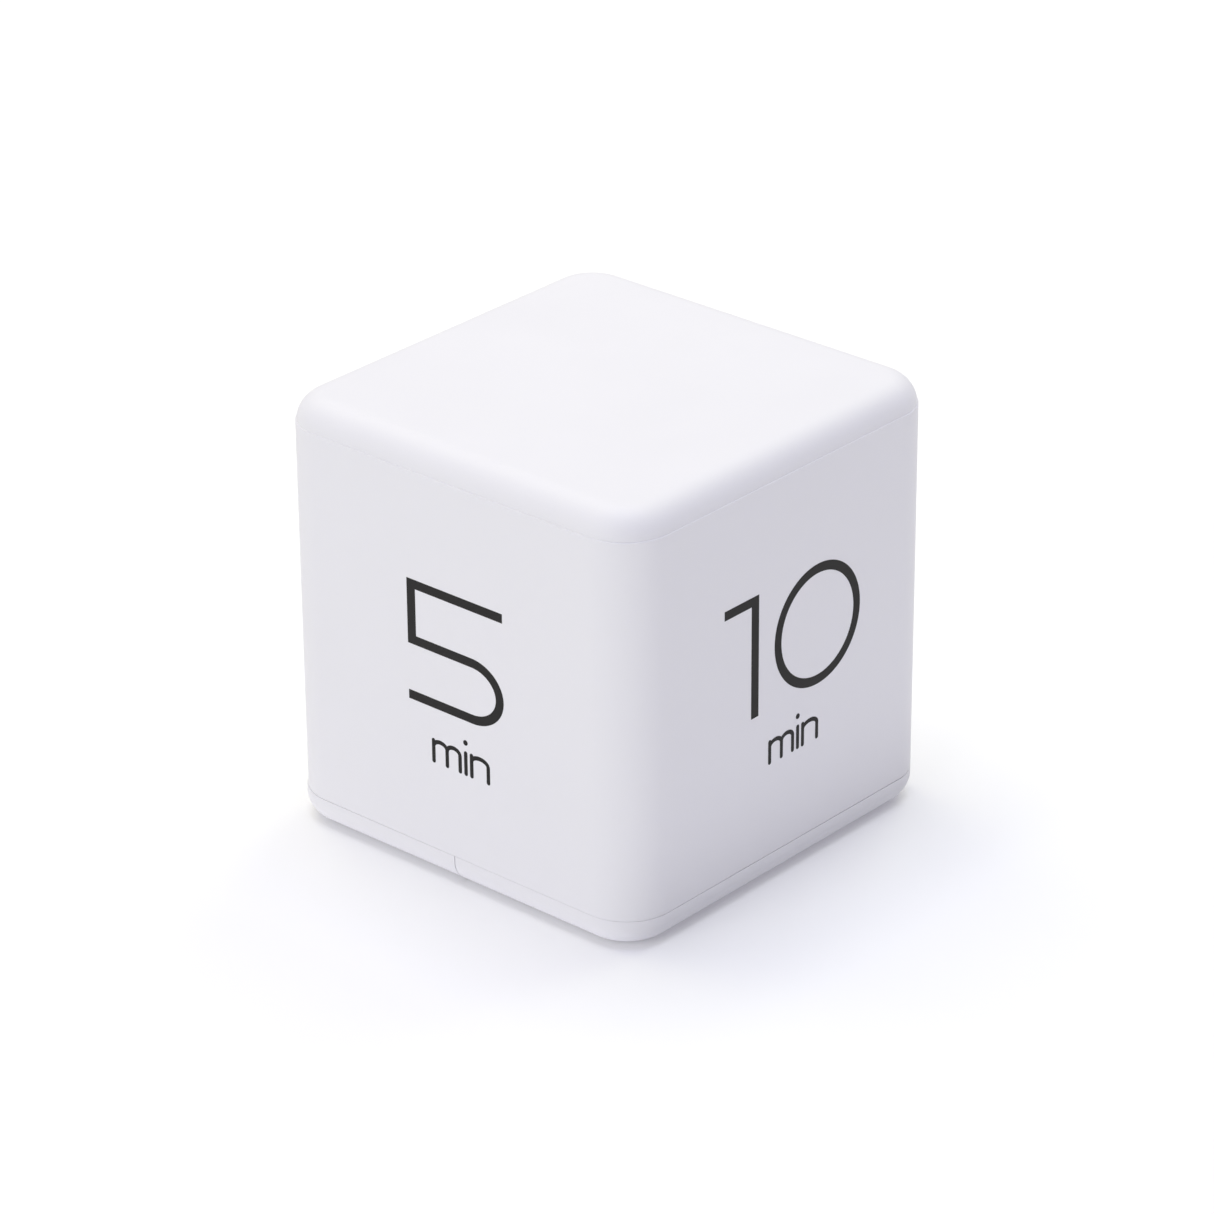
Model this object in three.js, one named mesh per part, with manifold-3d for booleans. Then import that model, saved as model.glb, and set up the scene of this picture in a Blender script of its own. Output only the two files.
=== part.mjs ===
// A cube-shaped countdown timer, in millimetres, +Z up.
// The origin is the middle of the underside. The face at -Y is the front and the one at +X the right.
// Outside: a four-sided sleeve, a top cover, and a base split in two, where one half is a sliding
// battery door. Inside: two AAA cells in a moulded bay, a circuit board with four ball tilt switches
// (one for each numbered side), a piezo sounder, and an on/off slide switch in the underside.

import * as THREE from 'three';
import { mergeVertices } from 'three/addons/utils/BufferGeometryUtils.js';
import Module from 'manifold-3d';

const wasm = await Module();
wasm.setup();

// Outer form
const SIZE = 63.5;
const HALF = SIZE / 2;
const CORNER_R = 7.3;
const FILLET = 4.0;
const WALL = 2.0;
const SEAM = 0.2;
const TOP_SEAM_Z = 59.8;
const BASE_SEAM_Z = 4.6;
const SPLIT_GAP = 0.2;

// Sleeve, cover and base
const INNER_HALF = HALF - WALL;
const INNER_R = CORNER_R - WALL;
const SPIGOT_GAP = 0.35;
const SPIGOT_HALF = INNER_HALF - SPIGOT_GAP;
const SPIGOT_R = INNER_R - SPIGOT_GAP;
const SPIGOT_WALL = 1.4;
const SPIGOT_BOTTOM_Z = 55.5;
const ROOF_Z = SIZE - WALL;
const BEAD = { z: 57.4, height: 0.9, length: 10, proud: 0.5 };
const FLOOR = 2.0;
const DECK = { bottom: BASE_SEAM_Z, top: 6.4, edge: 1.6 };
const HOOK = { y: 10.5, width: 5, top: 10.2, barbBottom: 8.8, barbTop: 9.8, barb: 0.9 };
const BOSS = { at: 24.4, radius: 3.1, bottom: 7.05, top: 16, pilot: 1.3 };
const WELL = { top: 6.9, seat: 4.4, bore: 2.4, hole: 1.4 };
const BASE_SCREW = { head: 2.0, headBottom: 2.9, headTop: 4.3, shank: 1.15, tip: 14.6 };

// Battery door and the rails it slides on
const DOOR_PLATE = 1.8;
const DOOR_INNER_HALF = 29.7;
const DOOR_RUNNER = { inner: 26.6, bottom: 3.3, top: 4.3, from: -27, to: -2 };
const RAIL = { inner: 25.0, outer: 26.2, lip: 27.8, bottom: 2.1, lipTop: 3.0, from: -27.9 };
const THUMB_RIBS = { count: 4, first: -27.2, pitch: 1.6, width: 0.8, length: 16, depth: 0.5 };

// Cells, bay and contacts
const CELL = { radius: 5.25, length: 44.5, z: 7.85, xs: [-18.2, -6.8] };
const NUB = { radius: 1.9, length: 0.8 };
const BAY = { x0: -24.0, x1: -1.0, y: 22.6, roof: 13.8, wall: 1.2 };
const POCKET = { y: 27.0, roof: 12.4 };
const SHEET = 0.4;
const CONTACT = { halfWidth: 4.5, bottom: 5.0, top: 12.0, near: 22.5, far: 26.5, tabHalf: 1.2 };
const TAB_TOP_Z = 16.0;
const SPRING = { wire: 0.25, base: 2.9, tip: 2.2, turns: 3.5 };

// Circuit board
const PCB = { x: 25, y: 22, radius: 2, bottom: 20, top: 21.2 };
const PILLAR = { x: 22.5, y: 18.5, radius: 2.4, pilot: 0.85, pilotBottom: 15.8 };
const PCB_SCREW = { head: 1.7, headHeight: 1.1, shank: 0.75, tip: 16.2 };
const REST_GAP = 0.1;

// Ball tilt switches
const CAN = { radius: 2.6, bore: 2.2, wall: 0.4, length: 11.5 };
const CANT = THREE.MathUtils.degToRad(15);
const CAN_END = { r: 20.3, z: 24.1 };
const BALL_R = 1.9;
const BALL_REST = CAN.wall + 0.3 + BALL_R;
const HEADER = { plug: 1.9, plugFrom: 9.0, flangeFrom: 11.8, flangeTo: 12.4, pin: 0.3, pitch: 2.54 };
const PIN = { inner: 8.4, bendR: 7.0, foot: 19.2, hole: 0.65 };
const SIDES = { front: -90, right: 0, back: 90, left: 180 };

// Sounder and slide switch
const PIEZO = { x: 13.5, y: 8, radius: 10, seatInner: 8.8, lipOuter: 11.0, seat: 3.2, lip: 4.2 };
const PIEZO_DISC = { bottom: 3.25, top: 3.45 };
const PIEZO_CERAMIC = { radius: 7, bottom: 3.5, top: 3.75 };
const SOUND_HOLES = { count: 6, ring: 4.0, radius: 0.8 };
const SWITCH = { x: 14, y: -13, ears: 9, earHalf: 2.75, earBottom: 3.6, sheet: 0.35, top: 7.2 };
const SWITCH_BODY = { x: 4.3, y: 2.2 };
const SWITCH_SLOT = { x: 2.4, y: 1.2 };
const SWITCH_SCREW = { offset: 7.3, head: 1.4, headTop: 5.0, shank: 0.6, tip: 1.3 };
const SWITCH_BOSS = { radius: 1.9, pilot: 0.75, pilotBottom: 0.9 };
const SLIDER = { offset: -1, x: 1.9, y: 1.5, bottom: 4.25, top: 5.9, knobX: 1, knobY: 0.9, knobZ: 0.5 };
const TERMINAL = { pitch: 2.5, halfX: 0.6, halfY: 0.25, top: 9.8 };
const WIRE_R = 0.5;

const FAR = 100;

// ---------------------------------------------------------------------------------------------
// Solids: three.js shapes made into manifold solids, joined and cut, and turned back into meshes

function closedMesh(geometry) {
  const bare = geometry.clone();
  bare.deleteAttribute('normal');
  bare.deleteAttribute('uv');
  const merged = mergeVertices(bare, 1e-4);
  const index = merged.index.array;
  const kept = [];
  for (let i = 0; i < index.length; i += 3) {
    const [a, b, c] = [index[i], index[i + 1], index[i + 2]];
    if (a !== b && b !== c && c !== a) {
      kept.push(a, b, c);
    }
  }
  merged.setIndex(kept);
  return merged;
}

function solid(geometry) {
  const mesh = closedMesh(geometry);
  return new wasm.Manifold(new wasm.Mesh({
    numProp: 3,
    vertProperties: new Float32Array(mesh.attributes.position.array),
    triVerts: new Uint32Array(mesh.index.array),
  }));
}

function geometryOf(manifold) {
  const mesh = manifold.getMesh();
  const geometry = new THREE.BufferGeometry();
  geometry.setAttribute('position', new THREE.BufferAttribute(mesh.vertProperties, 3));
  geometry.setIndex(new THREE.BufferAttribute(mesh.triVerts, 1));
  geometry.computeVertexNormals();
  return geometry;
}

const join = (...solids) => solids.reduce((sum, next) => sum.add(next));
const cut = (body, ...tools) => tools.reduce((left, tool) => left.subtract(tool), body);

// A box given by its low and high faces.
function box(x0, x1, y0, y1, z0, z1) {
  const geometry = new THREE.BoxGeometry(x1 - x0, y1 - y0, z1 - z0);
  geometry.translate((x0 + x1) / 2, (y0 + y1) / 2, (z0 + z1) / 2);
  return solid(geometry);
}

// The same box on both sides of the XZ plane.
const boxPair = (x0, x1, y0, y1, z0, z1) => join(
  box(x0, x1, y0, y1, z0, z1),
  box(x0, x1, -y1, -y0, z0, z1),
);

// An upright round bar.
function bar(x, y, radius, z0, z1, segments = 16) {
  const geometry = new THREE.CylinderGeometry(radius, radius, z1 - z0, segments);
  geometry.rotateX(Math.PI / 2);
  geometry.translate(x, y, (z0 + z1) / 2);
  return solid(geometry);
}

// A solid of revolution about +Z, from [radius, z] points that start and end on the axis.
function turned(points, segments = 20) {
  const profile = points.map(([r, z]) => new THREE.Vector2(r, z));
  return new THREE.LatheGeometry(profile, segments).rotateX(Math.PI / 2);
}

// An outline with four straight sides and four round corners.
function roundedRectangle(halfX, halfY, radius) {
  const x = halfX - radius;
  const y = halfY - radius;
  const shape = new THREE.Shape();
  shape.absarc(x, y, radius, 0, 0.5 * Math.PI);
  shape.absarc(-x, y, radius, 0.5 * Math.PI, Math.PI);
  shape.absarc(-x, -y, radius, Math.PI, 1.5 * Math.PI);
  shape.absarc(x, -y, radius, 1.5 * Math.PI, 2 * Math.PI);
  return shape;
}

function prism(shape, z0, z1, curveSegments = 3) {
  const geometry = new THREE.ExtrudeGeometry(shape, {
    depth: z1 - z0,
    bevelEnabled: false,
    curveSegments,
  });
  geometry.translate(0, 0, z0);
  return solid(geometry);
}

const squarePrism = (half, radius, z0, z1) => prism(roundedRectangle(half, half, radius), z0, z1);

// A round wire or tube along a smooth curve through the given points.
function tube(points, radius, steps, sides = 6) {
  const path = new THREE.CatmullRomCurve3(points.map((p) => new THREE.Vector3(...p)));
  const section = new THREE.Shape().absarc(0, 0, radius, 0, 2 * Math.PI);
  return new THREE.ExtrudeGeometry(section, {
    steps,
    extrudePath: path,
    bevelEnabled: false,
    curveSegments: sides / 2,
  });
}

// The whole cube with its rounded corners and edges.
function cube() {
  const half = HALF - FILLET;
  const geometry = new THREE.ExtrudeGeometry(roundedRectangle(half, half, CORNER_R - FILLET), {
    depth: SIZE - 2 * FILLET,
    bevelThickness: FILLET,
    bevelSize: FILLET,
    bevelSegments: 4,
    curveSegments: 3,
  });
  geometry.translate(0, 0, FILLET);
  return solid(geometry);
}

const band = (z0, z1) => box(-FAR, FAR, -FAR, FAR, z0, z1);

// ---------------------------------------------------------------------------------------------
// Covers

// Roof and rim in one piece, with a spigot that plugs into the sleeve and eight snap beads.
function topCover() {
  const rim = cube().intersect(band(TOP_SEAM_Z + SEAM / 2, FAR));
  const spigot = squarePrism(SPIGOT_HALF, SPIGOT_R, SPIGOT_BOTTOM_Z, ROOF_Z);
  const hollow = squarePrism(SPIGOT_HALF - SPIGOT_WALL, SPIGOT_R - SPIGOT_WALL, 0, ROOF_Z);
  return cut(join(rim, spigot, snapBeads(0)), hollow);
}

// Short bars round the spigot, two to a side. The sleeve's grooves are the same bars made larger.
function snapBeads(clearance) {
  const reach = SPIGOT_HALF + BEAD.proud + clearance;
  const halfLength = BEAD.length / 2 + clearance;
  const z0 = BEAD.z - BEAD.height / 2 - clearance;
  const z1 = BEAD.z + BEAD.height / 2 + clearance;
  const beads = [-14, 14].flatMap((along) => [
    box(along - halfLength, along + halfLength, -reach, reach, z0, z1),
    box(-reach, reach, along - halfLength, along + halfLength, z0, z1),
  ]);
  return join(...beads);
}

// The four-sided sleeve, with two screw bosses at the right and two hook pockets at the left.
function bodyShell() {
  const outside = cube().intersect(band(BASE_SEAM_Z + SEAM / 2, TOP_SEAM_Z - SEAM / 2));
  const hollow = squarePrism(INNER_HALF, INNER_R, 0, SIZE);
  const sleeve = cut(outside, hollow, snapBeads(0.3), hookPockets());
  return join(sleeve, screwBoss(1), screwBoss(-1));
}

function hookPockets() {
  const halfWidth = HOOK.width / 2 + 0.4;
  const x0 = -(SPIGOT_HALF + HOOK.barb + 0.35);
  return boxPair(x0, -INNER_HALF + 1, HOOK.y - halfWidth, HOOK.y + halfWidth,
    HOOK.barbBottom - 0.4, HOOK.barbTop + 0.4);
}

// A boss tied to both walls by webs, with a blind pilot hole from below.
function screwBoss(side) {
  const { at, radius, bottom, top, pilot } = BOSS;
  const y = side * at;
  const web = 0.7;
  const reach = INNER_HALF + 0.5;
  const boss = join(
    bar(at, y, radius, bottom, top),
    box(at, reach, y - web, y + web, bottom, top),
    box(at - web, at + web, Math.min(y, side * reach), Math.max(y, side * reach), bottom, top),
  );
  return cut(boss, bar(at, y, pilot, 0, top - WALL / 2));
}

// ---------------------------------------------------------------------------------------------
// Base: the fixed half of the underside, the deck over the door, and the battery bay

function baseHousing() {
  const body = join(
    fixedHalf(),
    deck(),
    rails(),
    bayOutside(),
    hooks(),
    screwWell(1),
    screwWell(-1),
    boardPillars(),
    sounderSeat(),
    switchBosses(),
  );
  return cut(
    body,
    bayInside(),
    tabSlots(),
    wellBores(),
    pillarPilots(),
    soundHoles(),
    switchOpening(),
  ).add(contactBacks()).add(cellDivider());
}

function fixedHalf() {
  const inner = SPIGOT_HALF - SPIGOT_WALL;
  const outer = cube().intersect(box(SPLIT_GAP / 2, FAR, -FAR, FAR, -FAR, BASE_SEAM_Z - SEAM / 2));
  const rim = squarePrism(SPIGOT_HALF, SPIGOT_R, FLOOR / 2, DECK.top)
    .intersect(box(SPLIT_GAP / 2, FAR, -FAR, FAR, -FAR, FAR));
  const pocket = squarePrism(inner, SPIGOT_R - SPIGOT_WALL, FLOOR, FAR)
    .intersect(box(DECK.edge, FAR, -FAR, FAR, -FAR, FAR));
  return cut(join(outer, rim), pocket);
}

function deck() {
  return squarePrism(SPIGOT_HALF, SPIGOT_R, DECK.bottom, DECK.top)
    .intersect(box(-FAR, DECK.edge, -FAR, FAR, -FAR, FAR));
}

// Two walls with outward lips under the door's runners, tied together by a cross wall.
function rails() {
  const { inner, outer, lip, bottom, lipTop, from } = RAIL;
  return join(
    boxPair(from, 1, inner, outer, bottom, DECK.bottom + 0.5),
    boxPair(from, 1, inner, lip, bottom, lipTop),
    box(from, from + BAY.wall, -inner - 0.5, inner + 0.5, bottom, DECK.bottom + 0.5),
  );
}

function bayOutside() {
  const { x0, x1, y, roof, wall } = BAY;
  return join(
    box(x0 - wall, x1 + wall, -y - wall, y + wall, RAIL.bottom, roof + wall),
    box(x0 - wall, x1 + wall, -POCKET.y - wall, POCKET.y + wall, DECK.bottom, POCKET.roof + wall),
  );
}

function bayInside() {
  const { x0, x1, y, roof } = BAY;
  return join(
    box(x0, x1, -y, y, -1, roof),
    box(x0, x1, -POCKET.y, POCKET.y, DECK.bottom - 0.1, POCKET.roof),
  );
}

// Solid blocks in the pockets, behind the two flat contacts.
function contactBacks() {
  const { near, bottom } = CONTACT;
  const y0 = near + SHEET + 0.3;
  const y1 = POCKET.y + 0.5;
  const half = 3.2;
  const [left, right] = CELL.xs;
  return join(
    box(left - half, left + half, y0, y1, bottom, POCKET.roof + 0.5),
    box(right - half, right + half, -y1, -y0, bottom, POCKET.roof + 0.5),
  );
}

function cellDivider() {
  const middle = (CELL.xs[0] + CELL.xs[1]) / 2;
  return box(middle - 0.6, middle + 0.6, -20, 20, 10.6, BAY.roof + 0.5);
}

// Openings in the bay's roof for the solder tabs of the two end contacts.
function tabSlots() {
  const half = CONTACT.tabHalf + 0.3;
  const [left, right] = CELL.xs;
  const { near, far } = CONTACT;
  return join(
    box(left - half, left + half, -far - SHEET - 0.1, -far + 0.3, DECK.top, FAR),
    box(right - half, right + half, -near - SHEET - 0.3, -near + 0.3, DECK.top, FAR),
  );
}

// Two tongues with barbs that catch in the sleeve's pockets.
function hooks() {
  const { y, width, top, barbBottom, barbTop, barb } = HOOK;
  const y0 = y - width / 2;
  const y1 = y + width / 2;
  const x = -SPIGOT_HALF;
  return join(
    boxPair(x, x + 1.2, y0, y1, DECK.bottom + 0.5, top),
    boxPair(x - barb, x + 0.5, y0, y1, barbBottom, barbTop),
  );
}

const screwWell = (side) => bar(BOSS.at, side * BOSS.at, BOSS.radius, FLOOR / 2, WELL.top);

function wellBores() {
  const bores = [1, -1].flatMap((side) => [
    bar(BOSS.at, side * BOSS.at, WELL.bore, -1, WELL.seat),
    bar(BOSS.at, side * BOSS.at, WELL.hole, -1, FAR),
  ]);
  return join(...bores);
}

const pillarPlaces = [[1, 1], [1, -1], [-1, 1], [-1, -1]]
  .map(([sx, sy]) => [sx * PILLAR.x, sy * PILLAR.y]);

function boardPillars() {
  return join(...pillarPlaces.map(([x, y]) => {
    const foot = x > 0 ? FLOOR / 2 : BAY.roof + BAY.wall / 2;
    return bar(x, y, PILLAR.radius, foot, PCB.bottom - REST_GAP);
  }));
}

const pillarPilots = () => join(
  ...pillarPlaces.map(([x, y]) => bar(x, y, PILLAR.pilot, PILLAR.pilotBottom, FAR, 8)),
);

// A raised ring with an inner step that the sounder rests on.
function sounderSeat() {
  const { x, y, radius, seatInner, lipOuter, seat, lip } = PIEZO;
  const ring = bar(x, y, lipOuter, FLOOR / 2, lip, 24);
  return cut(
    ring,
    bar(x, y, radius + 0.3, seat, FAR, 24),
    bar(x, y, seatInner, FLOOR, FAR, 24),
  );
}

function soundHoles() {
  const { count, ring, radius } = SOUND_HOLES;
  const holes = [bar(PIEZO.x, PIEZO.y, radius, -1, FLOOR + 1, 8)];
  for (let i = 0; i < count; i += 1) {
    const angle = (2 * Math.PI * i) / count;
    const x = PIEZO.x + ring * Math.cos(angle);
    const y = PIEZO.y + ring * Math.sin(angle);
    holes.push(bar(x, y, radius, -1, FLOOR + 1, 8));
  }
  return join(...holes);
}

const switchScrewPlaces = [-1, 1].map((side) => [SWITCH.x + side * SWITCH_SCREW.offset, SWITCH.y]);

const switchBosses = () => join(...switchScrewPlaces.map(([x, y]) => (
  bar(x, y, SWITCH_BOSS.radius, FLOOR / 2, SWITCH.earBottom - REST_GAP)
)));

function switchOpening() {
  const { x, y } = SWITCH;
  const slot = box(x - SWITCH_SLOT.x, x + SWITCH_SLOT.x, y - SWITCH_SLOT.y, y + SWITCH_SLOT.y, -1, 3);
  const pilots = switchScrewPlaces.map(([px, py]) => (
    bar(px, py, SWITCH_BOSS.pilot, SWITCH_BOSS.pilotBottom, FAR, 8)
  ));
  return join(slot, ...pilots);
}

// ---------------------------------------------------------------------------------------------
// Battery door: the other half of the underside, a tray whose runners ride above the base's lips

function batteryDoor() {
  const { inner, bottom, top, from, to } = DOOR_RUNNER;
  const outer = cube().intersect(
    box(-FAR, -SPLIT_GAP / 2, -FAR, FAR, -FAR, BASE_SEAM_Z - SEAM / 2),
  );
  const pocket = squarePrism(DOOR_INNER_HALF, INNER_R, DOOR_PLATE, FAR);
  const runners = boxPair(from, to, inner, DOOR_INNER_HALF + 0.8, bottom, top);
  return cut(join(cut(outer, pocket), runners), thumbRibs(), arrow());
}

function thumbRibs() {
  const { count, first, pitch, width, length, depth } = THUMB_RIBS;
  const grooves = [];
  for (let i = 0; i < count; i += 1) {
    const x = first + i * pitch;
    grooves.push(box(x, x + width, -length / 2, length / 2, -1, depth));
  }
  return join(...grooves);
}

// A sunk arrow that shows which way the door slides off.
function arrow() {
  const shape = new THREE.Shape();
  shape.moveTo(-19, 0);
  shape.lineTo(-13, -4.5);
  shape.lineTo(-13, 4.5);
  shape.closePath();
  return prism(shape, -1, THUMB_RIBS.depth);
}

// ---------------------------------------------------------------------------------------------
// Power

// A cell along Y; sign is the end that its nub faces.
function cell(sign) {
  const half = CELL.length / 2;
  const shoulder = half - NUB.length;
  const geometry = turned([
    [0, -half], [CELL.radius - 0.5, -half], [CELL.radius, -half + 0.5],
    [CELL.radius, shoulder - 0.5], [CELL.radius - 0.5, shoulder],
    [NUB.radius, shoulder], [NUB.radius, half], [0, half],
  ], 24);
  return geometry.rotateX(sign > 0 ? -Math.PI / 2 : Math.PI / 2);
}

// A flat contact across one cell's end, with y0 its outer face towards the cell.
function contactSheet(x, y0, y1) {
  return box(x - CONTACT.halfWidth, x + CONTACT.halfWidth, y0, y1, CONTACT.bottom, CONTACT.top);
}

function contactWithTab(x, y0) {
  const tab = box(x - CONTACT.tabHalf, x + CONTACT.tabHalf, y0, y0 + SHEET, CONTACT.bottom, TAB_TOP_Z);
  return join(contactSheet(x, y0, y0 + SHEET), tab);
}

// One stepped strip that joins the left cell's nub to the right cell's spring.
function bridgePlate() {
  const { near, far, halfWidth, bottom, top } = CONTACT;
  const [left, right] = CELL.xs;
  const step = left + halfWidth;
  return join(
    contactSheet(left, near, near + SHEET),
    box(step, step + SHEET, near, far + SHEET, bottom, top),
    box(step, right, far, far + SHEET, bottom, top),
    contactSheet(right, far, far + SHEET),
  );
}

// A tapered coil from its plate to the cell's flat end, drawn as it sits under load.
function contactSpring(x, sign) {
  const { wire, base, tip, turns } = SPRING;
  const from = CONTACT.far - wire - REST_GAP;
  const to = CELL.length / 2 + wire + REST_GAP;
  const count = Math.round(turns * 8);
  const points = [];
  for (let i = 0; i <= count; i += 1) {
    const t = i / count;
    const radius = THREE.MathUtils.lerp(base, tip, t);
    const angle = 2 * Math.PI * turns * t;
    const y = sign * THREE.MathUtils.lerp(from, to, t);
    points.push([x + radius * Math.cos(angle), y, CELL.z + radius * Math.sin(angle)]);
  }
  return tube(points, wire, Math.round(turns * 11));
}

// ---------------------------------------------------------------------------------------------
// Circuit board and what it carries

function board() {
  const plate = prism(roundedRectangle(PCB.x, PCB.y, PCB.radius), PCB.bottom, PCB.top);
  const screwHoles = pillarPlaces.map(([x, y]) => bar(x, y, PCB_SCREW.shank + 0.3, 0, FAR, 8));
  const pinHoles = Object.values(SIDES).flatMap((degrees) => {
    const angle = THREE.MathUtils.degToRad(degrees);
    return [-0.5, 0.5].map((k) => {
      const along = k * HEADER.pitch;
      const x = PIN.bendR * Math.cos(angle) - along * Math.sin(angle);
      const y = PIN.bendR * Math.sin(angle) + along * Math.cos(angle);
      return bar(x, y, PIN.hole, 0, FAR, 8);
    });
  });
  return cut(plate, ...screwHoles, ...pinHoles);
}

// A round-headed screw on +Z: [head radius, shank radius] and [tip, under head, top of head],
// with a crossed recess in the head.
function screw([head, shank], [tip, seat, top]) {
  const body = solid(turned([
    [0, tip], [shank * 0.4, tip], [shank, tip + shank], [shank, seat],
    [head, seat], [head, (seat + top) / 2], [head * 0.7, top], [0, top],
  ], 12));
  const arm = head * 0.6;
  const slot = head * 0.12;
  const depth = top - (top - seat) * 0.5;
  return cut(
    body,
    box(-arm, arm, -slot, slot, depth, FAR),
    box(-slot, slot, -arm, arm, depth, FAR),
  );
}

const boardScrew = () => geometryOf(screw(
  [PCB_SCREW.head, PCB_SCREW.shank],
  [PCB_SCREW.tip, PCB.top + REST_GAP, PCB.top + REST_GAP + PCB_SCREW.headHeight],
));

// The epoxy dome over the bonded controller chip.
const controllerBlob = () => turned([
  [0, 0], [4.2, 0], [3.9, 0.6], [2.9, 1.1], [1.5, 1.4], [0, 1.5],
], 24);

// A crystal in its oval metal can, with a flange round the foot.
function crystalCan() {
  return geometryOf(join(
    prism(roundedRectangle(5.3, 2.2, 2.19), 0, 0.5),
    prism(roundedRectangle(4.9, 1.8, 1.79), 0, 3.5),
  ));
}

const electrolyticCap = () => turned([
  [0, 0], [2.5, 0], [2.5, 0.9], [2.3, 1.2], [2.5, 1.5], [2.5, 6.8], [2.2, 7.1], [0, 7.1],
], 20);

// A small moulded transistor: a round body with one flat side.
function transistorBody() {
  return geometryOf(bar(0, 0, 2.4, 0, 4.6).intersect(box(-3, 3, -1.3, 3, 0, 5)));
}

// A drum inductor: two flanges with the winding between them.
const drumInductor = () => turned([
  [0, 0], [3.3, 0], [3.3, 0.8], [2.8, 1.1], [2.8, 3.1], [3.3, 3.4], [3.3, 4.2], [0, 4.2],
], 20);

const chipResistor = () => new THREE.BoxGeometry(3.2, 1.6, 0.6).translate(0, 0, 0.3);

const discCapacitor = () => new THREE.CylinderGeometry(2.2, 2.2, 1.4, 16)
  .rotateZ(Math.PI / 2).translate(0, 0, 2.4);

// ---------------------------------------------------------------------------------------------
// Ball tilt switches. Each is drawn with +X pointing out to its own side of the cube.
// The can's closed end points out and down, and the ball lies there until that side is turned up.

const canShell = () => turned([
  [0, 0], [CAN.radius, 0], [CAN.radius, CAN.length], [CAN.bore, CAN.length],
  [CAN.bore, CAN.wall], [0, CAN.wall],
], 16);

// A point inside the can: its distance from the closed end, and its offset sideways.
const inCan = (along, sideways) => [
  CAN_END.r - along * Math.cos(CANT),
  sideways,
  CAN_END.z + along * Math.sin(CANT),
];

// The insulating plug with its two pins, which bend down through the board.
function tiltHeader() {
  const plug = turned([
    [0, HEADER.plugFrom], [HEADER.plug, HEADER.plugFrom], [HEADER.plug, HEADER.flangeFrom],
    [CAN.radius, HEADER.flangeFrom], [CAN.radius, HEADER.flangeTo], [0, HEADER.flangeTo],
  ], 16).rotateY(CANT - Math.PI / 2).translate(CAN_END.r, 0, CAN_END.z);
  const pins = [-0.5, 0.5].map((k) => {
    const y = k * HEADER.pitch;
    const bend = inCan(HEADER.flangeTo + 0.7, y);
    return solid(tube([
      inCan(PIN.inner, y),
      inCan((PIN.inner + HEADER.flangeTo) / 2, y),
      bend,
      [PIN.bendR, y, bend[2] - 1.2],
      [PIN.bendR, y, (bend[2] + PIN.foot) / 2],
      [PIN.bendR, y, PIN.foot],
    ], HEADER.pin, 9));
  });
  return geometryOf(join(solid(plug), ...pins));
}

const switchBall = () => new THREE.SphereGeometry(BALL_R, 14, 8);

// ---------------------------------------------------------------------------------------------
// Sounder and slide switch

const roundPlate = (radius, z0, z1) => geometryOf(bar(PIEZO.x, PIEZO.y, radius, z0, z1, 24));

// A folded steel frame: ears with screw holes, four walls, and a slot for the knob.
function switchFrame() {
  const { x, y, ears, earHalf, earBottom, sheet, top } = SWITCH;
  const inX = SWITCH_BODY.x - sheet;
  const inY = SWITCH_BODY.y - sheet;
  const walls = cut(
    box(x - SWITCH_BODY.x, x + SWITCH_BODY.x, y - SWITCH_BODY.y, y + SWITCH_BODY.y, earBottom, top),
    box(x - inX, x + inX, y - inY, y + inY, earBottom + sheet, FAR),
  );
  const plate = cut(
    box(x - ears, x + ears, y - earHalf, y + earHalf, earBottom, earBottom + sheet),
    ...switchScrewPlaces.map(([px, py]) => bar(px, py, SWITCH_SCREW.shank + 0.3, 0, FAR, 8)),
  );
  const slot = box(x - SWITCH_SLOT.x, x + SWITCH_SLOT.x, y - SWITCH_SLOT.y, y + SWITCH_SLOT.y, 0, 5);
  return cut(join(walls, plate), slot);
}

// The insulating board in the frame's open side, with three blade terminals.
function switchBase() {
  const { x, y, sheet, top } = SWITCH;
  const halfX = SWITCH_BODY.x - sheet - 0.15;
  const halfY = SWITCH_BODY.y - sheet - 0.15;
  const plate = box(x - halfX, x + halfX, y - halfY, y + halfY, top - 1, top - 0.2);
  const blades = [-1, 0, 1].map((k) => {
    const bx = x + k * TERMINAL.pitch;
    return box(bx - TERMINAL.halfX, bx + TERMINAL.halfX, y - TERMINAL.halfY, y + TERMINAL.halfY,
      top - 0.6, TERMINAL.top);
  });
  return join(plate, ...blades);
}

function switchSlider() {
  const x = SWITCH.x + SLIDER.offset;
  const { y } = SWITCH;
  return join(
    box(x - SLIDER.x, x + SLIDER.x, y - SLIDER.y, y + SLIDER.y, SLIDER.bottom, SLIDER.top),
    box(x - SLIDER.knobX, x + SLIDER.knobX, y - SLIDER.knobY, y + SLIDER.knobY,
      SLIDER.knobZ, SLIDER.bottom + 0.5),
  );
}

const switchScrew = () => geometryOf(screw(
  [SWITCH_SCREW.head, SWITCH_SCREW.shank],
  [SWITCH_SCREW.tip, SWITCH.earBottom + SWITCH.sheet + REST_GAP, SWITCH_SCREW.headTop],
));

// ---------------------------------------------------------------------------------------------
// Wires: each route runs from one solder point to the other

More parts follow.
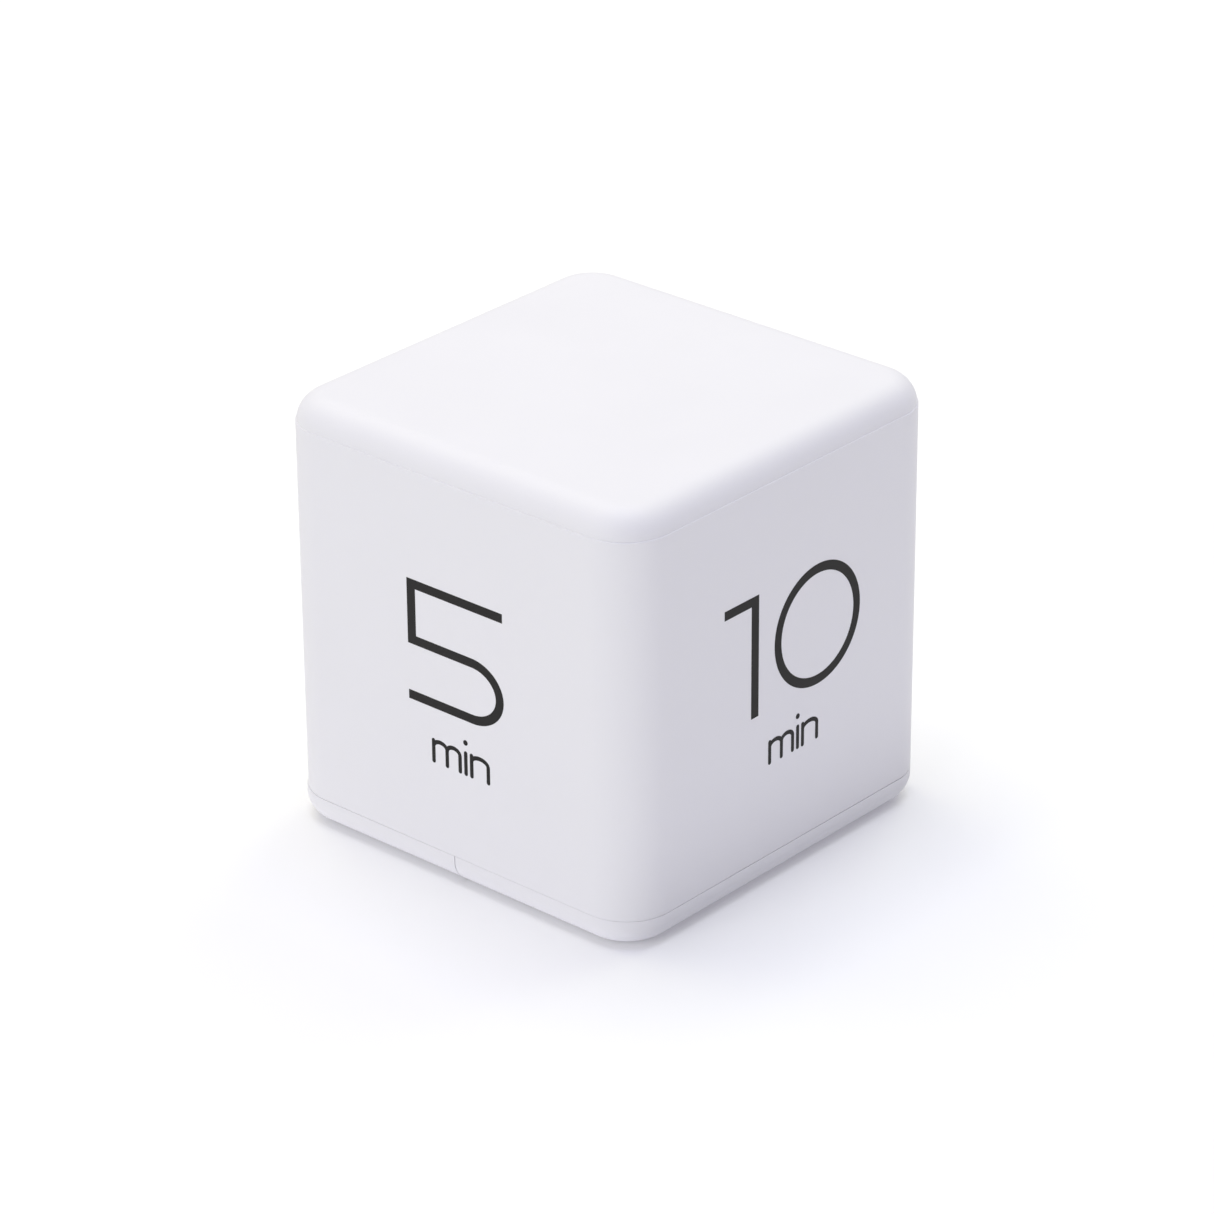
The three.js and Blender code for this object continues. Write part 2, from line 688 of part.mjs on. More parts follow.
const WIRE_ROUTES = {
  wire_pos_to_switch: [
    [-6.8, -23.6, 15.2], [-4.6, -24.2, 17.0], [1.5, -24.2, 16.4], [6.2, -19.2, 13.6],
    [11.2, -14.2, 12.6], [11.5, -13, 10.4],
  ],
  wire_switch_to_pcb: [
    [14, -13, 10.4], [14, -12.6, 12.8], [12.6, -10.4, 16.2], [11.5, -9, 19.8],
  ],
  wire_neg_to_pcb: [
    [-18.2, -27.6, 15.0], [-18.2, -27.6, 17.8], [-17.4, -26.0, 22.6], [-16.4, -22.8, 24.0],
    [-15.6, -20.4, 22.9], [-15.4, -19.6, 21.5],
  ],
  wire_buzzer_a: [
    [13.5, 8, 4.0], [13.2, 7.2, 8.0], [9.4, 4.6, 14.0], [7.8, 4, 19.8],
  ],
  wire_buzzer_b: [
    [5.2, 8, 3.7], [5.0, 7.4, 8.0], [4.6, 5.0, 14.0], [4.5, 4, 19.8],
  ],
};

// ---------------------------------------------------------------------------------------------
// Assembly

const plastic = (color, roughness = 0.5) => (
  new THREE.MeshStandardMaterial({ color, roughness, metalness: 0 })
);
const metal = (color, roughness = 0.35) => (
  new THREE.MeshStandardMaterial({ color, roughness, metalness: 1 })
);

function piece(name, geometry, material, position = [0, 0, 0]) {
  const mesh = new THREE.Mesh(geometry, material);
  mesh.name = name;
  mesh.position.set(...position);
  return mesh;
}

const body = (name, manifold, material) => piece(name, geometryOf(manifold), material);

function covers() {
  const group = new THREE.Group();
  group.add(
    body('top_cover', topCover(), plastic(0xf4f3f8, 0.45)),
    body('body_shell', bodyShell(), plastic(0xf0eff4, 0.45)),
    body('base_housing', baseHousing(), plastic(0xf0eff4, 0.5)),
    body('battery_door', batteryDoor(), plastic(0xf0eff4, 0.5)),
  );
  [1, -1].forEach((side, i) => {
    const { head, shank, headBottom, headTop, tip } = BASE_SCREW;
    const upright = geometryOf(screw([head, shank], [-tip, -headTop, -headBottom]));
    upright.rotateX(Math.PI);
    group.add(piece(`base_screw_${i + 1}`, upright, metal(0xb8b9bd), [BOSS.at, side * BOSS.at, 0]));
  });
  return group;
}

function power() {
  const group = new THREE.Group();
  const [left, right] = CELL.xs;
  const { near, far } = CONTACT;
  const nickel = () => metal(0xc9c6bd, 0.3);
  group.add(
    piece('aaa_cell_1', cell(1), metal(0x3c4a66, 0.4), [left, 0, CELL.z]),
    piece('aaa_cell_2', cell(-1), metal(0x3c4a66, 0.4), [right, 0, CELL.z]),
    body('contact_plate_neg', contactWithTab(left, -far - SHEET), nickel()),
    body('contact_plate_pos', contactWithTab(right, -near - SHEET), nickel()),
    body('bridge_plate', bridgePlate(), nickel()),
    piece('contact_spring_neg', contactSpring(left, -1), nickel()),
    piece('bridge_spring', contactSpring(right, 1), nickel()),
  );
  return group;
}

function boardGroup() {
  const group = new THREE.Group();
  const top = PCB.top + REST_GAP;
  group.add(
    body('main_pcb', board(), plastic(0x2e6b3c, 0.5)),
    piece('controller_blob', controllerBlob(), plastic(0x151515, 0.3), [0, 0, top]),
    piece('crystal_can', crystalCan(), metal(0xc4c6ca), [-12.5, -11.5, top]),
    piece('electrolytic_cap', electrolyticCap(), plastic(0x26303f, 0.4), [13, 12, top]),
    piece('driver_transistor', transistorBody(), plastic(0x1b1b1c, 0.6), [-13, 12, top]),
    piece('boost_inductor', drumInductor(), plastic(0x3a2d26, 0.6), [13, -12, top]),
    piece('resistor_1', chipResistor(), plastic(0x222222, 0.6), [8, 10, top]),
    piece('resistor_2', chipResistor(), plastic(0x222222, 0.6), [-8, 10, top]),
    piece('ceramic_cap', discCapacitor(), plastic(0xc08a3e, 0.6), [8, -9, top]),
  );
  pillarPlaces.forEach(([x, y], i) => {
    group.add(piece(`pcb_screw_${i + 1}`, boardScrew(), metal(0xb8b9bd), [x, y, 0]));
  });
  return group;
}

function tiltSwitch(side, degrees) {
  const group = new THREE.Group();
  group.rotation.z = THREE.MathUtils.degToRad(degrees);
  const canted = new THREE.Group();
  canted.position.set(CAN_END.r, 0, CAN_END.z);
  canted.rotation.y = CANT - Math.PI / 2;
  canted.add(
    piece(`tilt_can_${side}`, canShell(), metal(0xd2b36a, 0.3)),
    piece(`tilt_ball_${side}`, switchBall(), metal(0xd9c07c, 0.2), [0, 0, BALL_REST]),
  );
  group.add(canted, piece(`tilt_header_${side}`, tiltHeader(), plastic(0x202020, 0.5)));
  return group;
}

function underside() {
  const group = new THREE.Group();
  group.add(
    piece('piezo_disc', roundPlate(PIEZO.radius, PIEZO_DISC.bottom, PIEZO_DISC.top), metal(0xcfa95a)),
    piece('piezo_ceramic', roundPlate(PIEZO_CERAMIC.radius, PIEZO_CERAMIC.bottom,
      PIEZO_CERAMIC.top), plastic(0xd9d5c8, 0.4)),
    body('switch_frame', switchFrame(), metal(0xb9bbbf)),
    body('switch_base', switchBase(), plastic(0x6b4a2c, 0.6)),
    body('switch_slider', switchSlider(), plastic(0x1c1c1e, 0.5)),
  );
  switchScrewPlaces.forEach(([x, y], i) => {
    group.add(piece(`switch_screw_${i + 1}`, switchScrew(), metal(0xb8b9bd), [x, y, 0]));
  });
  return group;
}

function wires() {
  const group = new THREE.Group();
  const colors = {
    wire_pos_to_switch: 0xb5241c,
    wire_switch_to_pcb: 0xb5241c,
    wire_neg_to_pcb: 0x1a1a1c,
    wire_buzzer_a: 0xb5241c,
    wire_buzzer_b: 0x1a1a1c,
  };
  for (const [name, route] of Object.entries(WIRE_ROUTES)) {
    group.add(piece(name, tube(route, WIRE_R, 12), plastic(colors[name], 0.45)));
  }
  return group;
}

const timer = new THREE.Group();
timer.name = 'cube_timer';
timer.add(covers(), power(), boardGroup(), underside(), wires());
for (const [side, degrees] of Object.entries(SIDES)) {
  timer.add(tiltSwitch(side, degrees));
}

export default timer;
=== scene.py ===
"""A cube-shaped kitchen timer, dressed for close views.

Lengths are in millimetres in the part's own frame, and meshes are made in metres: the origin is the
middle of the underside, +Z is up, the 5 minute side is at -Y and the 10 minute side at +X. The outside is
a sleeve, a top cover and a base whose left half is the sliding battery door. Inside are two AAA cells, a
circuit board with four ball tilt switches, a sounder and a slide switch.
"""

import logging
import math
from collections.abc import Callable, Sequence
from dataclasses import dataclass
from enum import Enum

import bmesh
import bpy
import numpy as np
from mathutils import Matrix, Vector


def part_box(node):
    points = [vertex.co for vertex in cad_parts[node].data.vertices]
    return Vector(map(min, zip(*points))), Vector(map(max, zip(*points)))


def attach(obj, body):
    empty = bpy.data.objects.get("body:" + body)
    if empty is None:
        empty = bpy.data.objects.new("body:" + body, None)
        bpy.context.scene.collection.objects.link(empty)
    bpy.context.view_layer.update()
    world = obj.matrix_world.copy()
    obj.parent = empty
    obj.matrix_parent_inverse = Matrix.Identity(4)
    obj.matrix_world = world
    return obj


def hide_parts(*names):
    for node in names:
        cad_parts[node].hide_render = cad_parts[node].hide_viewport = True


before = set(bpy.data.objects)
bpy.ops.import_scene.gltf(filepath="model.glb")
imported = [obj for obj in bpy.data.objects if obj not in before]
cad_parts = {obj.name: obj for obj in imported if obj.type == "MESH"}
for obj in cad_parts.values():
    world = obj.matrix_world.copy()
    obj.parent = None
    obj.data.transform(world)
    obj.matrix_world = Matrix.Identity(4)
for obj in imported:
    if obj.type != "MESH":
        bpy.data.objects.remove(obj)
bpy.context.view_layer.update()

log = logging.getLogger("cube_timer")

Pair = tuple[float, float]
Triple = tuple[float, float, float]
Points = Sequence[Pair] | np.ndarray
Piece = bpy.types.Object
Tree = bpy.types.NodeTree
Socket = bpy.types.NodeSocket
Test = Callable[[np.ndarray, np.ndarray, np.ndarray], np.ndarray]

MM = 0.001
FAR = 90.0
SHARP = 32.0
SIDES = (-1, 1)
CORNERS = ((1, 1), (-1, 1), (-1, -1), (1, -1))


def box_of(node: str) -> np.ndarray:
    """A CAD node's lowest and highest corner in millimetres, to the hundredth: array (2, 3)."""
    return np.round(np.array(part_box(node)) / MM, 2)


def middle(node: str) -> np.ndarray:
    """The middle of a CAD node's box in millimetres."""
    return box_of(node).mean(axis=0)


def across(side: int, near: float, far: float) -> Pair:
    """The stretch from near to far on the positive or the negative side of the middle."""
    return tuple(sorted((side * near, side * far)))


HALF = box_of("body_shell")[1, 0]
HEIGHT = box_of("top_cover")[1, 2]


# ---- Surfaces ------------------------------------------------------------------------------


@dataclass
class Surface:
    """Points (n, 3) in millimetres, and faces as lists of point numbers."""

    points: np.ndarray
    faces: list[list[int]]

    def moved(self, x: float = 0.0, y: float = 0.0, z: float = 0.0) -> "Surface":
        """The same skin carried by (x, y, z)."""
        return Surface(self.points + np.array([x, y, z]), self.faces)

    def turned(self, degrees: float, axis: str = "Z") -> "Surface":
        """The same skin turned about an axis through the origin."""
        turn = Matrix.Rotation(math.radians(degrees), 3, axis)
        return Surface(self.points @ np.array(turn).T, self.faces)


def skin(points: np.ndarray, wrap_rows: bool = False) -> Surface:
    """Cover a grid of points with four-sided faces, its last column joined to its first.

    Args:
        points: Array (rows, columns, 3).
        wrap_rows: Whether the last row joins the first as well.

    Returns:
        The surface.
    """
    rows, columns = points.shape[:2]
    row = np.arange(rows if wrap_rows else rows - 1)[:, None]
    column = np.arange(columns)
    next_row, next_column = (row + 1) % rows, (column + 1) % columns
    corners = [row * columns + column, row * columns + next_column,
               next_row * columns + next_column, next_row * columns + column]
    faces = np.stack([corner.ravel() for corner in corners], axis=1)
    return Surface(points.reshape(-1, 3), faces.tolist())


def arc(centre: Pair, radii: Pair, start: float, end: float, steps: int) -> np.ndarray:
    """Points of an ellipse's arc: centre + (a cos t, b sin t).

    Args:
        centre: Middle of the ellipse.
        radii: Its two half axes.
        start: First angle in degrees.
        end: Last angle in degrees.
        steps: How many straight steps make the arc.

    Returns:
        Array (steps + 1, 2).
    """
    t = np.radians(np.linspace(start, end, steps + 1))
    return np.stack([centre[0] + radii[0] * np.cos(t), centre[1] + radii[1] * np.sin(t)], axis=1)


def line_of(*stretches: Points) -> np.ndarray:
    """Stretches of flat points, one after the other in one array."""
    return np.vstack([np.asarray(stretch, float) for stretch in stretches])


def unit(vectors: np.ndarray) -> np.ndarray:
    """Vectors made one long."""
    return vectors / np.linalg.norm(vectors, axis=-1, keepdims=True)


def aside(line: np.ndarray, distance: float) -> np.ndarray:
    """The steps that carry a flat line's points a distance to its right."""
    along = unit(np.gradient(line, axis=0))
    return distance * np.stack([along[:, 1], -along[:, 0]], axis=1)


@dataclass
class Outline:
    """A rounded rectangle in plan: its points, and the outward direction at each."""

    points: np.ndarray
    outward: np.ndarray

    @classmethod
    def rounded(cls, half: Pair, radius: float, steps: int = 20, hold: float = 0.25) -> "Outline":
        """Work out the outline anticlockwise from the corner at +X +Y.

        Each corner is an arc: corner centre + radius (cos t, sin t). One extra point on the straight
        side just before and after each arc holds the flat flat under smooth shading.

        Args:
            half: Half of the length along X and along Y.
            radius: Corner radius.
            steps: Steps in each corner's quarter turn.
            hold: How far the extra points stand from the arc.

        Returns:
            The outline.
        """
        points, outward = [], []
        for k, (sx, sy) in enumerate(CORNERS):
            centre = np.array([sx * (half[0] - radius), sy * (half[1] - radius)])
            t = np.radians(np.linspace(90 * k, 90 * k + 90, steps + 1))
            normal = np.stack([np.cos(t), np.sin(t)], axis=1)
            along = np.stack([-np.sin(t), np.cos(t)], axis=1)
            curve = centre + radius * normal
            points += [curve[:1] - hold * along[:1], curve, curve[-1:] + hold * along[-1:]]
            outward += [normal[:1], normal, normal[-1:]]
        return cls(np.vstack(points), np.vstack(outward))

    def carried(self, line: np.ndarray, closed: bool = False) -> Surface:
        """Carry a profile round the outline: point = outline - inset x outward, at height z.

        Args:
            line: Array (m, 2) of inset and z.
            closed: Whether the profile's last point joins its first. An open one is closed by a flat
                face at each end.

        Returns:
            The surface.
        """
        inset, z = line.T[:, :, None]
        flat = self.points[None] - inset[..., None] * self.outward[None]
        height = np.broadcast_to(z, flat.shape[:2])
        surface = skin(np.dstack([flat, height]), wrap_rows=closed)
        if not closed:
            first = np.arange(len(self.points))
            last = first + (len(line) - 1) * len(self.points)
            surface.faces += [first[::-1].tolist(), last.tolist()]
        return surface


def revolved(line: Points, segments: int = 48) -> Surface:
    """Turn (radius, z) points about the Z axis: (r cos t, r sin t, z).

    Args:
        line: Points that start and end on the axis, or that close on themselves.
        segments: Steps round the axis.

    Returns:
        The surface.
    """
    r, z = np.asarray(line, float).T[:, :, None]
    t = np.linspace(0, 2 * np.pi, segments, endpoint=False)
    points = np.dstack([r * np.cos(t), r * np.sin(t), np.broadcast_to(z, (len(line), segments))])
    return skin(points, wrap_rows=bool(r[0, 0] > 1e-6))


def standing(node: str, line: Points, segments: int = 48) -> Surface:
    """A turned shape whose axis runs up through the middle of a CAD node's box."""
    return revolved(line, segments).moved(*middle(node)[:2])


def extruded(outline: np.ndarray, z: Pair) -> Surface:
    """An upright prism over a flat outline that runs anticlockwise.

    Args:
        outline: Array (n, 2).
        z: Low and high face.

    Returns:
        The surface.
    """
    n = len(outline)
    low, high = (np.column_stack([outline, np.full(n, h)]) for h in z)
    k = np.arange(n)
    sides = np.stack([k, (k + 1) % n, (k + 1) % n + n, k + n], axis=1).tolist()
    return Surface(np.vstack([low, high]), [k[::-1].tolist(), (k + n).tolist(), *sides])


def block(x: Pair, y: Pair, z: Pair, edge: float = 0.0) -> Surface:
    """A rectangular solid from low to high along X, Y and Z.

    Args:
        x: Low and high face along X.
        y: Low and high face along Y.
        z: Low and high face along Z.
        edge: Radius of the edges, or 0 for square ones.

    Returns:
        The surface.
    """
    half = ((x[1] - x[0]) / 2, (y[1] - y[0]) / 2)
    place = ((x[1] + x[0]) / 2, (y[1] + y[0]) / 2)
    if not edge:
        plan = np.array(CORNERS) * half
        return extruded(plan, z).moved(*place)
    outline = Outline.rounded(half, edge + 1e-4, steps=4, hold=0.02)
    upper = arc((edge, z[1] - edge), (edge, edge), 90, 180, 4)
    lower = arc((edge, z[0] + edge), (edge, edge), 180, 270, 4)
    return outline.carried(line_of(upper, lower)).moved(*place)


def round_bar(x: float, y: float, radius: float, z: Pair, segments: int = 40) -> Surface:
    """An upright round bar with square ends, about an axis at (x, y)."""
    return revolved([(0, z[1]), (radius, z[1]), (radius, z[0]), (0, z[0])], segments).moved(x, y)


def bead(radius: float, height: float, steps: int, segments: int) -> Surface:
    """A spheroid at the origin, of a radius across and a height to either side."""
    return revolved(arc((0, 0), (radius, height), 90, -90, steps), segments)


def round_tube(centres: np.ndarray, radius: float, upright: Triple, sides: int = 12) -> Surface:
    """Carry a circle along a line of points, with a flat cap on each end.

    At each centre c with direction d the section is c + r (cos t n + sin t b), where n = upright x d
    made one long and b = d x n.

    Args:
        centres: Array (m, 3) of the middle line.
        radius: Radius of the tube.
        upright: A direction that the line never follows.
        sides: Points round the tube.

    Returns:
        The surface.
    """
    along = unit(np.gradient(centres, axis=0))
    sideways = unit(np.cross(np.asarray(upright, float), along))
    other = np.cross(along, sideways)
    t = np.linspace(0, 2 * np.pi, sides, endpoint=False)[None, :, None]
    rings = centres[:, None] + radius * (np.cos(t) * sideways[:, None] + np.sin(t) * other[:, None])
    ones = np.ones((1, sides, 3))
    return skin(np.concatenate([centres[0] * ones, rings, centres[-1] * ones]))


def smooth_line(points: Sequence[Triple], steps: int = 48) -> np.ndarray:
    """A curve through points, by Catmull-Rom blending with evenly spaced parameter.

    Args:
        points: The points that the curve passes.
        steps: Steps along the whole curve.

    Returns:
        Array (steps + 1, 3).
    """
    knots = np.asarray(points, float)
    knots = np.vstack([2 * knots[0] - knots[1], knots, 2 * knots[-1] - knots[-2]])
    u = np.linspace(0, len(knots) - 3, steps + 1)
    k = np.minimum(u.astype(int), len(knots) - 4)
    t = (u - k)[:, None]
    a, b, c, d = knots[k], knots[k + 1], knots[k + 2], knots[k + 3]
    return 0.5 * (2 * b + (c - a) * t + (2 * a - 5 * b + 4 * c - d) * t ** 2
                  + (3 * b - a - 3 * c + d) * t ** 3)


# ---- Blender objects -----------------------------------------------------------------------


def make_object(name: str, surface: Surface, sharp: float = SHARP, scale: float = MM) -> Piece:
    """Put a surface into a mesh object, with doubles merged and faces turned outwards.

    Args:
        name: Name of the piece.
        surface: The surface in millimetres.
        sharp: Edges that bend more than this many degrees are drawn crisp.
        scale: What one millimetre becomes in the mesh.

    Returns:
        The new object, at the origin.
    """
    mesh = bpy.data.meshes.new(name)
    mesh.from_pydata((surface.points * scale).tolist(), [], surface.faces)
    clean(mesh, 1e-4 * scale, outward=True)
    piece = bpy.data.objects.new(name, mesh)
    bpy.context.scene.collection.objects.link(piece)
    shade(mesh, sharp)
    return piece


def clean(mesh: bpy.types.Mesh, gap: float, outward: bool = False) -> None:
    """Merge points that lie closer than a gap.

    Args:
        mesh: The mesh.
        gap: The largest distance that is closed.
        outward: Whether the faces are turned outwards as well.
    """
    tidy = bmesh.new()
    tidy.from_mesh(mesh)
    bmesh.ops.remove_doubles(tidy, verts=tidy.verts, dist=gap)
    if outward:
        bmesh.ops.recalc_face_normals(tidy, faces=tidy.faces)
    tidy.to_mesh(mesh)
    tidy.free()


def shade(mesh: bpy.types.Mesh, sharp: float = SHARP) -> None:
    """Shade a mesh smooth, with crisp edges where it bends more than `sharp` degrees."""
    mesh.polygons.foreach_set("use_smooth", np.ones(len(mesh.polygons), bool))
    mesh.set_sharp_from_angle(angle=math.radians(sharp))


class Join(Enum):
    """How a second solid changes the first."""

    ADD = "UNION"
    CUT = "DIFFERENCE"
    KEEP = "INTERSECT"

    def each(self, *solids: Surface) -> "Steps":
        """This change with each of the solids, in order."""
        return [(self, solid) for solid in solids]


Steps = list[tuple[Join, Surface]]


def carve(name: str, start: Surface, steps: Steps) -> Piece:
    """Join solids to a first one and cut solids from it, in order.

    The work is done with a metre to the millimetre, where the solver's own tolerances are small.

    Args:
        name: Name of the finished piece.
        start: The first solid.
        steps: What is done with each further solid.

    Returns:
        The finished object.
    """
    piece = make_object(name, start, scale=1.0)
    tools = []
    for kind, surface in steps:
        tool = make_object(f"{name}_tool", surface, scale=1.0)
        step = piece.modifiers.new("join", "BOOLEAN")
        step.operation = kind.value
        step.solver = "EXACT"
        step.object = tool
        tools.append(tool)
    graph = bpy.context.evaluated_depsgraph_get()
    mesh = bpy.data.meshes.new_from_object(piece.evaluated_get(graph))
    piece.modifiers.clear()
    old, piece.data = piece.data, mesh
    bpy.data.meshes.remove(old)
    for tool in tools:
        bpy.data.meshes.remove(tool.data)
    mesh.name = name
    clean(mesh, 2e-4)
    mesh.transform(Matrix.Scale(MM, 4))
    shade(mesh)
    return piece


def carved(start: Surface, steps: Steps) -> Surface:
    """Join solids and cut them as `carve` does, and take the result as a surface.

    Args:
        start: The first solid.
        steps: What is done with each further solid.

    Returns:
        The finished surface in millimetres.
    """
    mesh = carve("blank", start, steps).data
    points = np.empty(len(mesh.vertices) * 3)
    mesh.vertices.foreach_get("co", points)
    faces = [list(face.vertices) for face in mesh.polygons]
    bpy.data.meshes.remove(mesh)
    return Surface(points.reshape(-1, 3) / MM, faces)


# ---- Finishes ------------------------------------------------------------------------------


def linear(hex_code: str) -> tuple[float, float, float, float]:
    """Turn an sRGB hex colour into linear RGBA.

    Args:
        hex_code: Six hex digits.

    Returns:
        Red, green, blue and 1.
    """
    srgb = np.array([int(hex_code[i:i + 2], 16) for i in (0, 2, 4)]) / 255
    light = np.where(srgb <= 0.04045, srgb / 12.92, ((srgb + 0.055) / 1.055) ** 2.4)
    return (*light.tolist(), 1.0)


def add_node(tree: Tree, kind: str, inputs: dict | None = None, **settings: object) -> bpy.types.Node:
    """Add one shader node with its settings, socket values and links.

    Args:
        tree: The tree that it joins.
        kind: Blender's name for the node type, without the ShaderNode prefix.
        inputs: Socket name or number to a value, to the output socket that feeds it, or to the node
            whose first output feeds it.
        settings: Attributes of the node.

    Returns:
        The new node.
    """
    node = tree.nodes.new(f"ShaderNode{kind}")
    for name, value in settings.items():
        setattr(node, name, value)
    for name, value in (inputs or {}).items():
        if isinstance(value, bpy.types.Node):
            value = value.outputs[0]
        if isinstance(value, Socket):
            tree.links.new(value, node.inputs[name])
        else:
            node.inputs[name].default_value = value
    return node


def per_metre(millimetres: float) -> float:
    """The texture scale at which one feature of a pattern is this many millimetres across."""
    return 1.0 / (millimetres * MM)


def empty_material(name: str) -> tuple[bpy.types.Material, Tree]:
    """Make a material without nodes.

    Args:
        name: Its name.

    Returns:
        The material and its tree.
    """
    made = bpy.data.materials.new(name)
    made.use_nodes = True
    made.node_tree.nodes.clear()
    return made, made.node_tree


@dataclass(frozen=True)
class Finish:
    """A named surface with its colour, gloss and fine relief.

    The fine relief is a noise with one bump every `grain` millimetres, `relief` millimetres deep. The
    gloss wanders by `gloss_drift` and the colour by `colour_drift` over patches of `patch` millimetres.
    """

    name: str
    colour: str
    roughness: float
    metallic: float = 0.0
    ior: float = 1.5
    grain: float = 0.3
    relief: float = 0.002
    patch: float = 14.0
    gloss_drift: float = 0.03
    colour_drift: float = 0.01
    coat: float = 0.0
    stretch: Triple = (1.0, 1.0, 1.0)

    def material(self) -> bpy.types.Material:
        """The material, made once and shared by every piece of this finish."""
        return bpy.data.materials.get(self.name) or self.build()

    def build(self) -> bpy.types.Material:
        """Make the material's nodes.

        Returns:
            The new material.
        """
        made, tree = empty_material(self.name)
        place = add_node(tree, "TexCoord").outputs["Object"]
        where = add_node(tree, "Mapping", {"Vector": place, "Scale": self.stretch})
        patches = add_node(tree, "TexNoise", {
            "Vector": where, "Scale": per_metre(self.patch), "Detail": 2.0})
        grain = add_node(tree, "TexNoise", {
            "Vector": where, "Scale": per_metre(self.grain), "Detail": 3.0})
        gloss = add_node(tree, "MapRange", {
            "Value": patches, "From Min": 0.3, "From Max": 0.7,
            "To Min": self.roughness - self.gloss_drift,
            "To Max": self.roughness + self.gloss_drift})
        uneven = add_node(tree, "Bump", {
            "Height": grain, "Strength": 1.0, "Distance": self.relief * MM})
        shader = add_node(tree, "BsdfPrincipled", {
            "Base Color": self.colour_output(tree, place, patches.outputs["Fac"]),
            "Roughness": gloss, "Metallic": self.metallic, "IOR": self.ior,
            "Coat Weight": self.coat, "Normal": uneven})
        add_node(tree, "OutputMaterial", {"Surface": shader})
        return made

    def colour_output(self, tree: Tree, place: Socket, patches: Socket) -> Socket:
        """The base colour, a touch lighter and darker over the patches.

        Args:
            tree: The material's tree.
            place: Object coordinates, for finishes that draw a pattern.
            patches: The patch noise.

        Returns:
            The colour socket.
        """
        base = np.array(linear(self.colour)[:3])
        low, high = ((*(base * (1 + drift)).clip(0, 1).tolist(), 1.0)
                     for drift in (-self.colour_drift, self.colour_drift))
        return add_node(tree, "Mix", {"Factor": patches, "A": low, "B": high},
                        data_type="RGBA").outputs["Result"]


# Injection-moulded ABS from a finely blasted mould: an even satin white with a faint cool tint, soft
# broad highlights, and a grain too fine to count.
SATIN_ABS = Finish("satin_moulded_abs", "E6E5EB", roughness=0.56, relief=0.0015, grain=0.35)
# Pad-printed epoxy ink: a thin charcoal film, a little flatter than the plastic round it.
PAD_INK = Finish("pad_printed_ink", "161414", roughness=0.55, ior=1.35, relief=0.001, grain=0.2)
# Printed shrink sleeve on the cells: a glossy dark blue film with the faint ripple of shrinking.
CELL_SLEEVE = Finish("printed_cell_sleeve", "26344F", roughness=0.24, relief=0.01, grain=1.6)
# The same film printed in metallic copper round the positive end.
CELL_BAND = Finish("copper_printed_band", "B0713F", 0.28, metallic=0.8, relief=0.01, grain=1.6)
# Nickel-plated steel strip and wire: a warm grey metal with fine lines along the rolled strip.
NICKEL = Finish("nickel_plated_steel", "C9C5BB", 0.26, metallic=1.0, grain=0.12, relief=0.001,
                stretch=(0.15, 1.0, 1.0))
# Zinc-plated screws: a bluish, slightly mottled metal.
ZINC = Finish("zinc_plated_steel", "BFC3CB", 0.34, metallic=1.0, grain=0.15, colour_drift=0.06)
# Tin-lead or tin solder and tinned leads: bright, softly uneven silver.
TIN = Finish("tin_solder", "D3D3D0", 0.22, metallic=1.0, grain=0.8, relief=0.02)
# The cut edge of woven glass board: matt straw-coloured fibre.
GLASS_BOARD = Finish("cut_glass_epoxy", "B9AE7C", 0.7, grain=0.15, relief=0.01, colour_drift=0.1)
# The potting dome over the chip: very dark, with a broad soft highlight.
EPOXY = Finish("potting_epoxy", "151515", 0.34, grain=2.0, relief=0.01, coat=0.3)
# Moulded transistor and switch nylon: dark and evenly matt.
NYLON = Finish("moulded_black_nylon", "1D1D1F", 0.5, grain=0.2, relief=0.004)
# Drawn and nickel-plated crystal can: smooth cool metal with soft reflections.
CRYSTAL_CAN = Finish("drawn_nickel_can", "CDCFD2", 0.2, metallic=1.0, grain=1.0, relief=0.002)
# PVC sleeve of the electrolytic capacitor: glossy blue-black film.
CAP_SLEEVE = Finish("pvc_capacitor_sleeve", "1B2740", 0.28, grain=1.0, relief=0.006)
# The bare scored end of that capacitor: pale satin metal.
ALUMINIUM = Finish("etched_aluminium", "D5D7D9", 0.36, metallic=1.0, grain=0.1)
# Lacquered ferrite: dark grey-brown and slightly porous.
FERRITE = Finish("lacquered_ferrite", "35302D", 0.55, grain=0.12, relief=0.01, colour_drift=0.08)
# Enamelled copper winding: clear lacquer over bright copper.
COPPER = Finish("enamelled_copper", "B4622F", 0.25, metallic=1.0, coat=0.6)
# Dipped ceramic capacitor: orange-tan resin with a soft waxy gloss.
CERAMIC_DIP = Finish("dipped_resin", "C08A3E", 0.4, grain=0.5, relief=0.01)
# Glazed resistor chip: near-black glass, and white alumina at its sides.
GLAZE = Finish("resistor_glaze", "191A1C", 0.2, grain=0.5)
ALUMINA = Finish("alumina_chip", "E8E6DF", 0.6, grain=0.1)
# Turned and tumbled brass of the tilt switches and the sounder's plate.
BRASS = Finish("plain_brass", "CFA65B", 0.27, metallic=1.0, grain=0.25, relief=0.001,
               colour_drift=0.04)
# Gold-flashed ball: the same colour family, nearly a mirror.
GOLD_BALL = Finish("gold_flashed_ball", "E2C069", 0.12, metallic=1.0, relief=0.0003)
# Unfired silver electrode on the sounder's ceramic: a white metal that scatters light.
SILVER = Finish("screened_silver", "E4E2DC", 0.5, metallic=0.7, grain=0.15, relief=0.004)
# Sintered piezo ceramic at the disc's rim: dull cream.
PIEZO = Finish("piezo_ceramic", "D9D2B8", 0.75, grain=0.1)
# Paper phenolic: brown laminate with visible fibre.
PHENOLIC = Finish("paper_phenolic", "6B4A2C", 0.5, grain=0.4, relief=0.006, colour_drift=0.12)
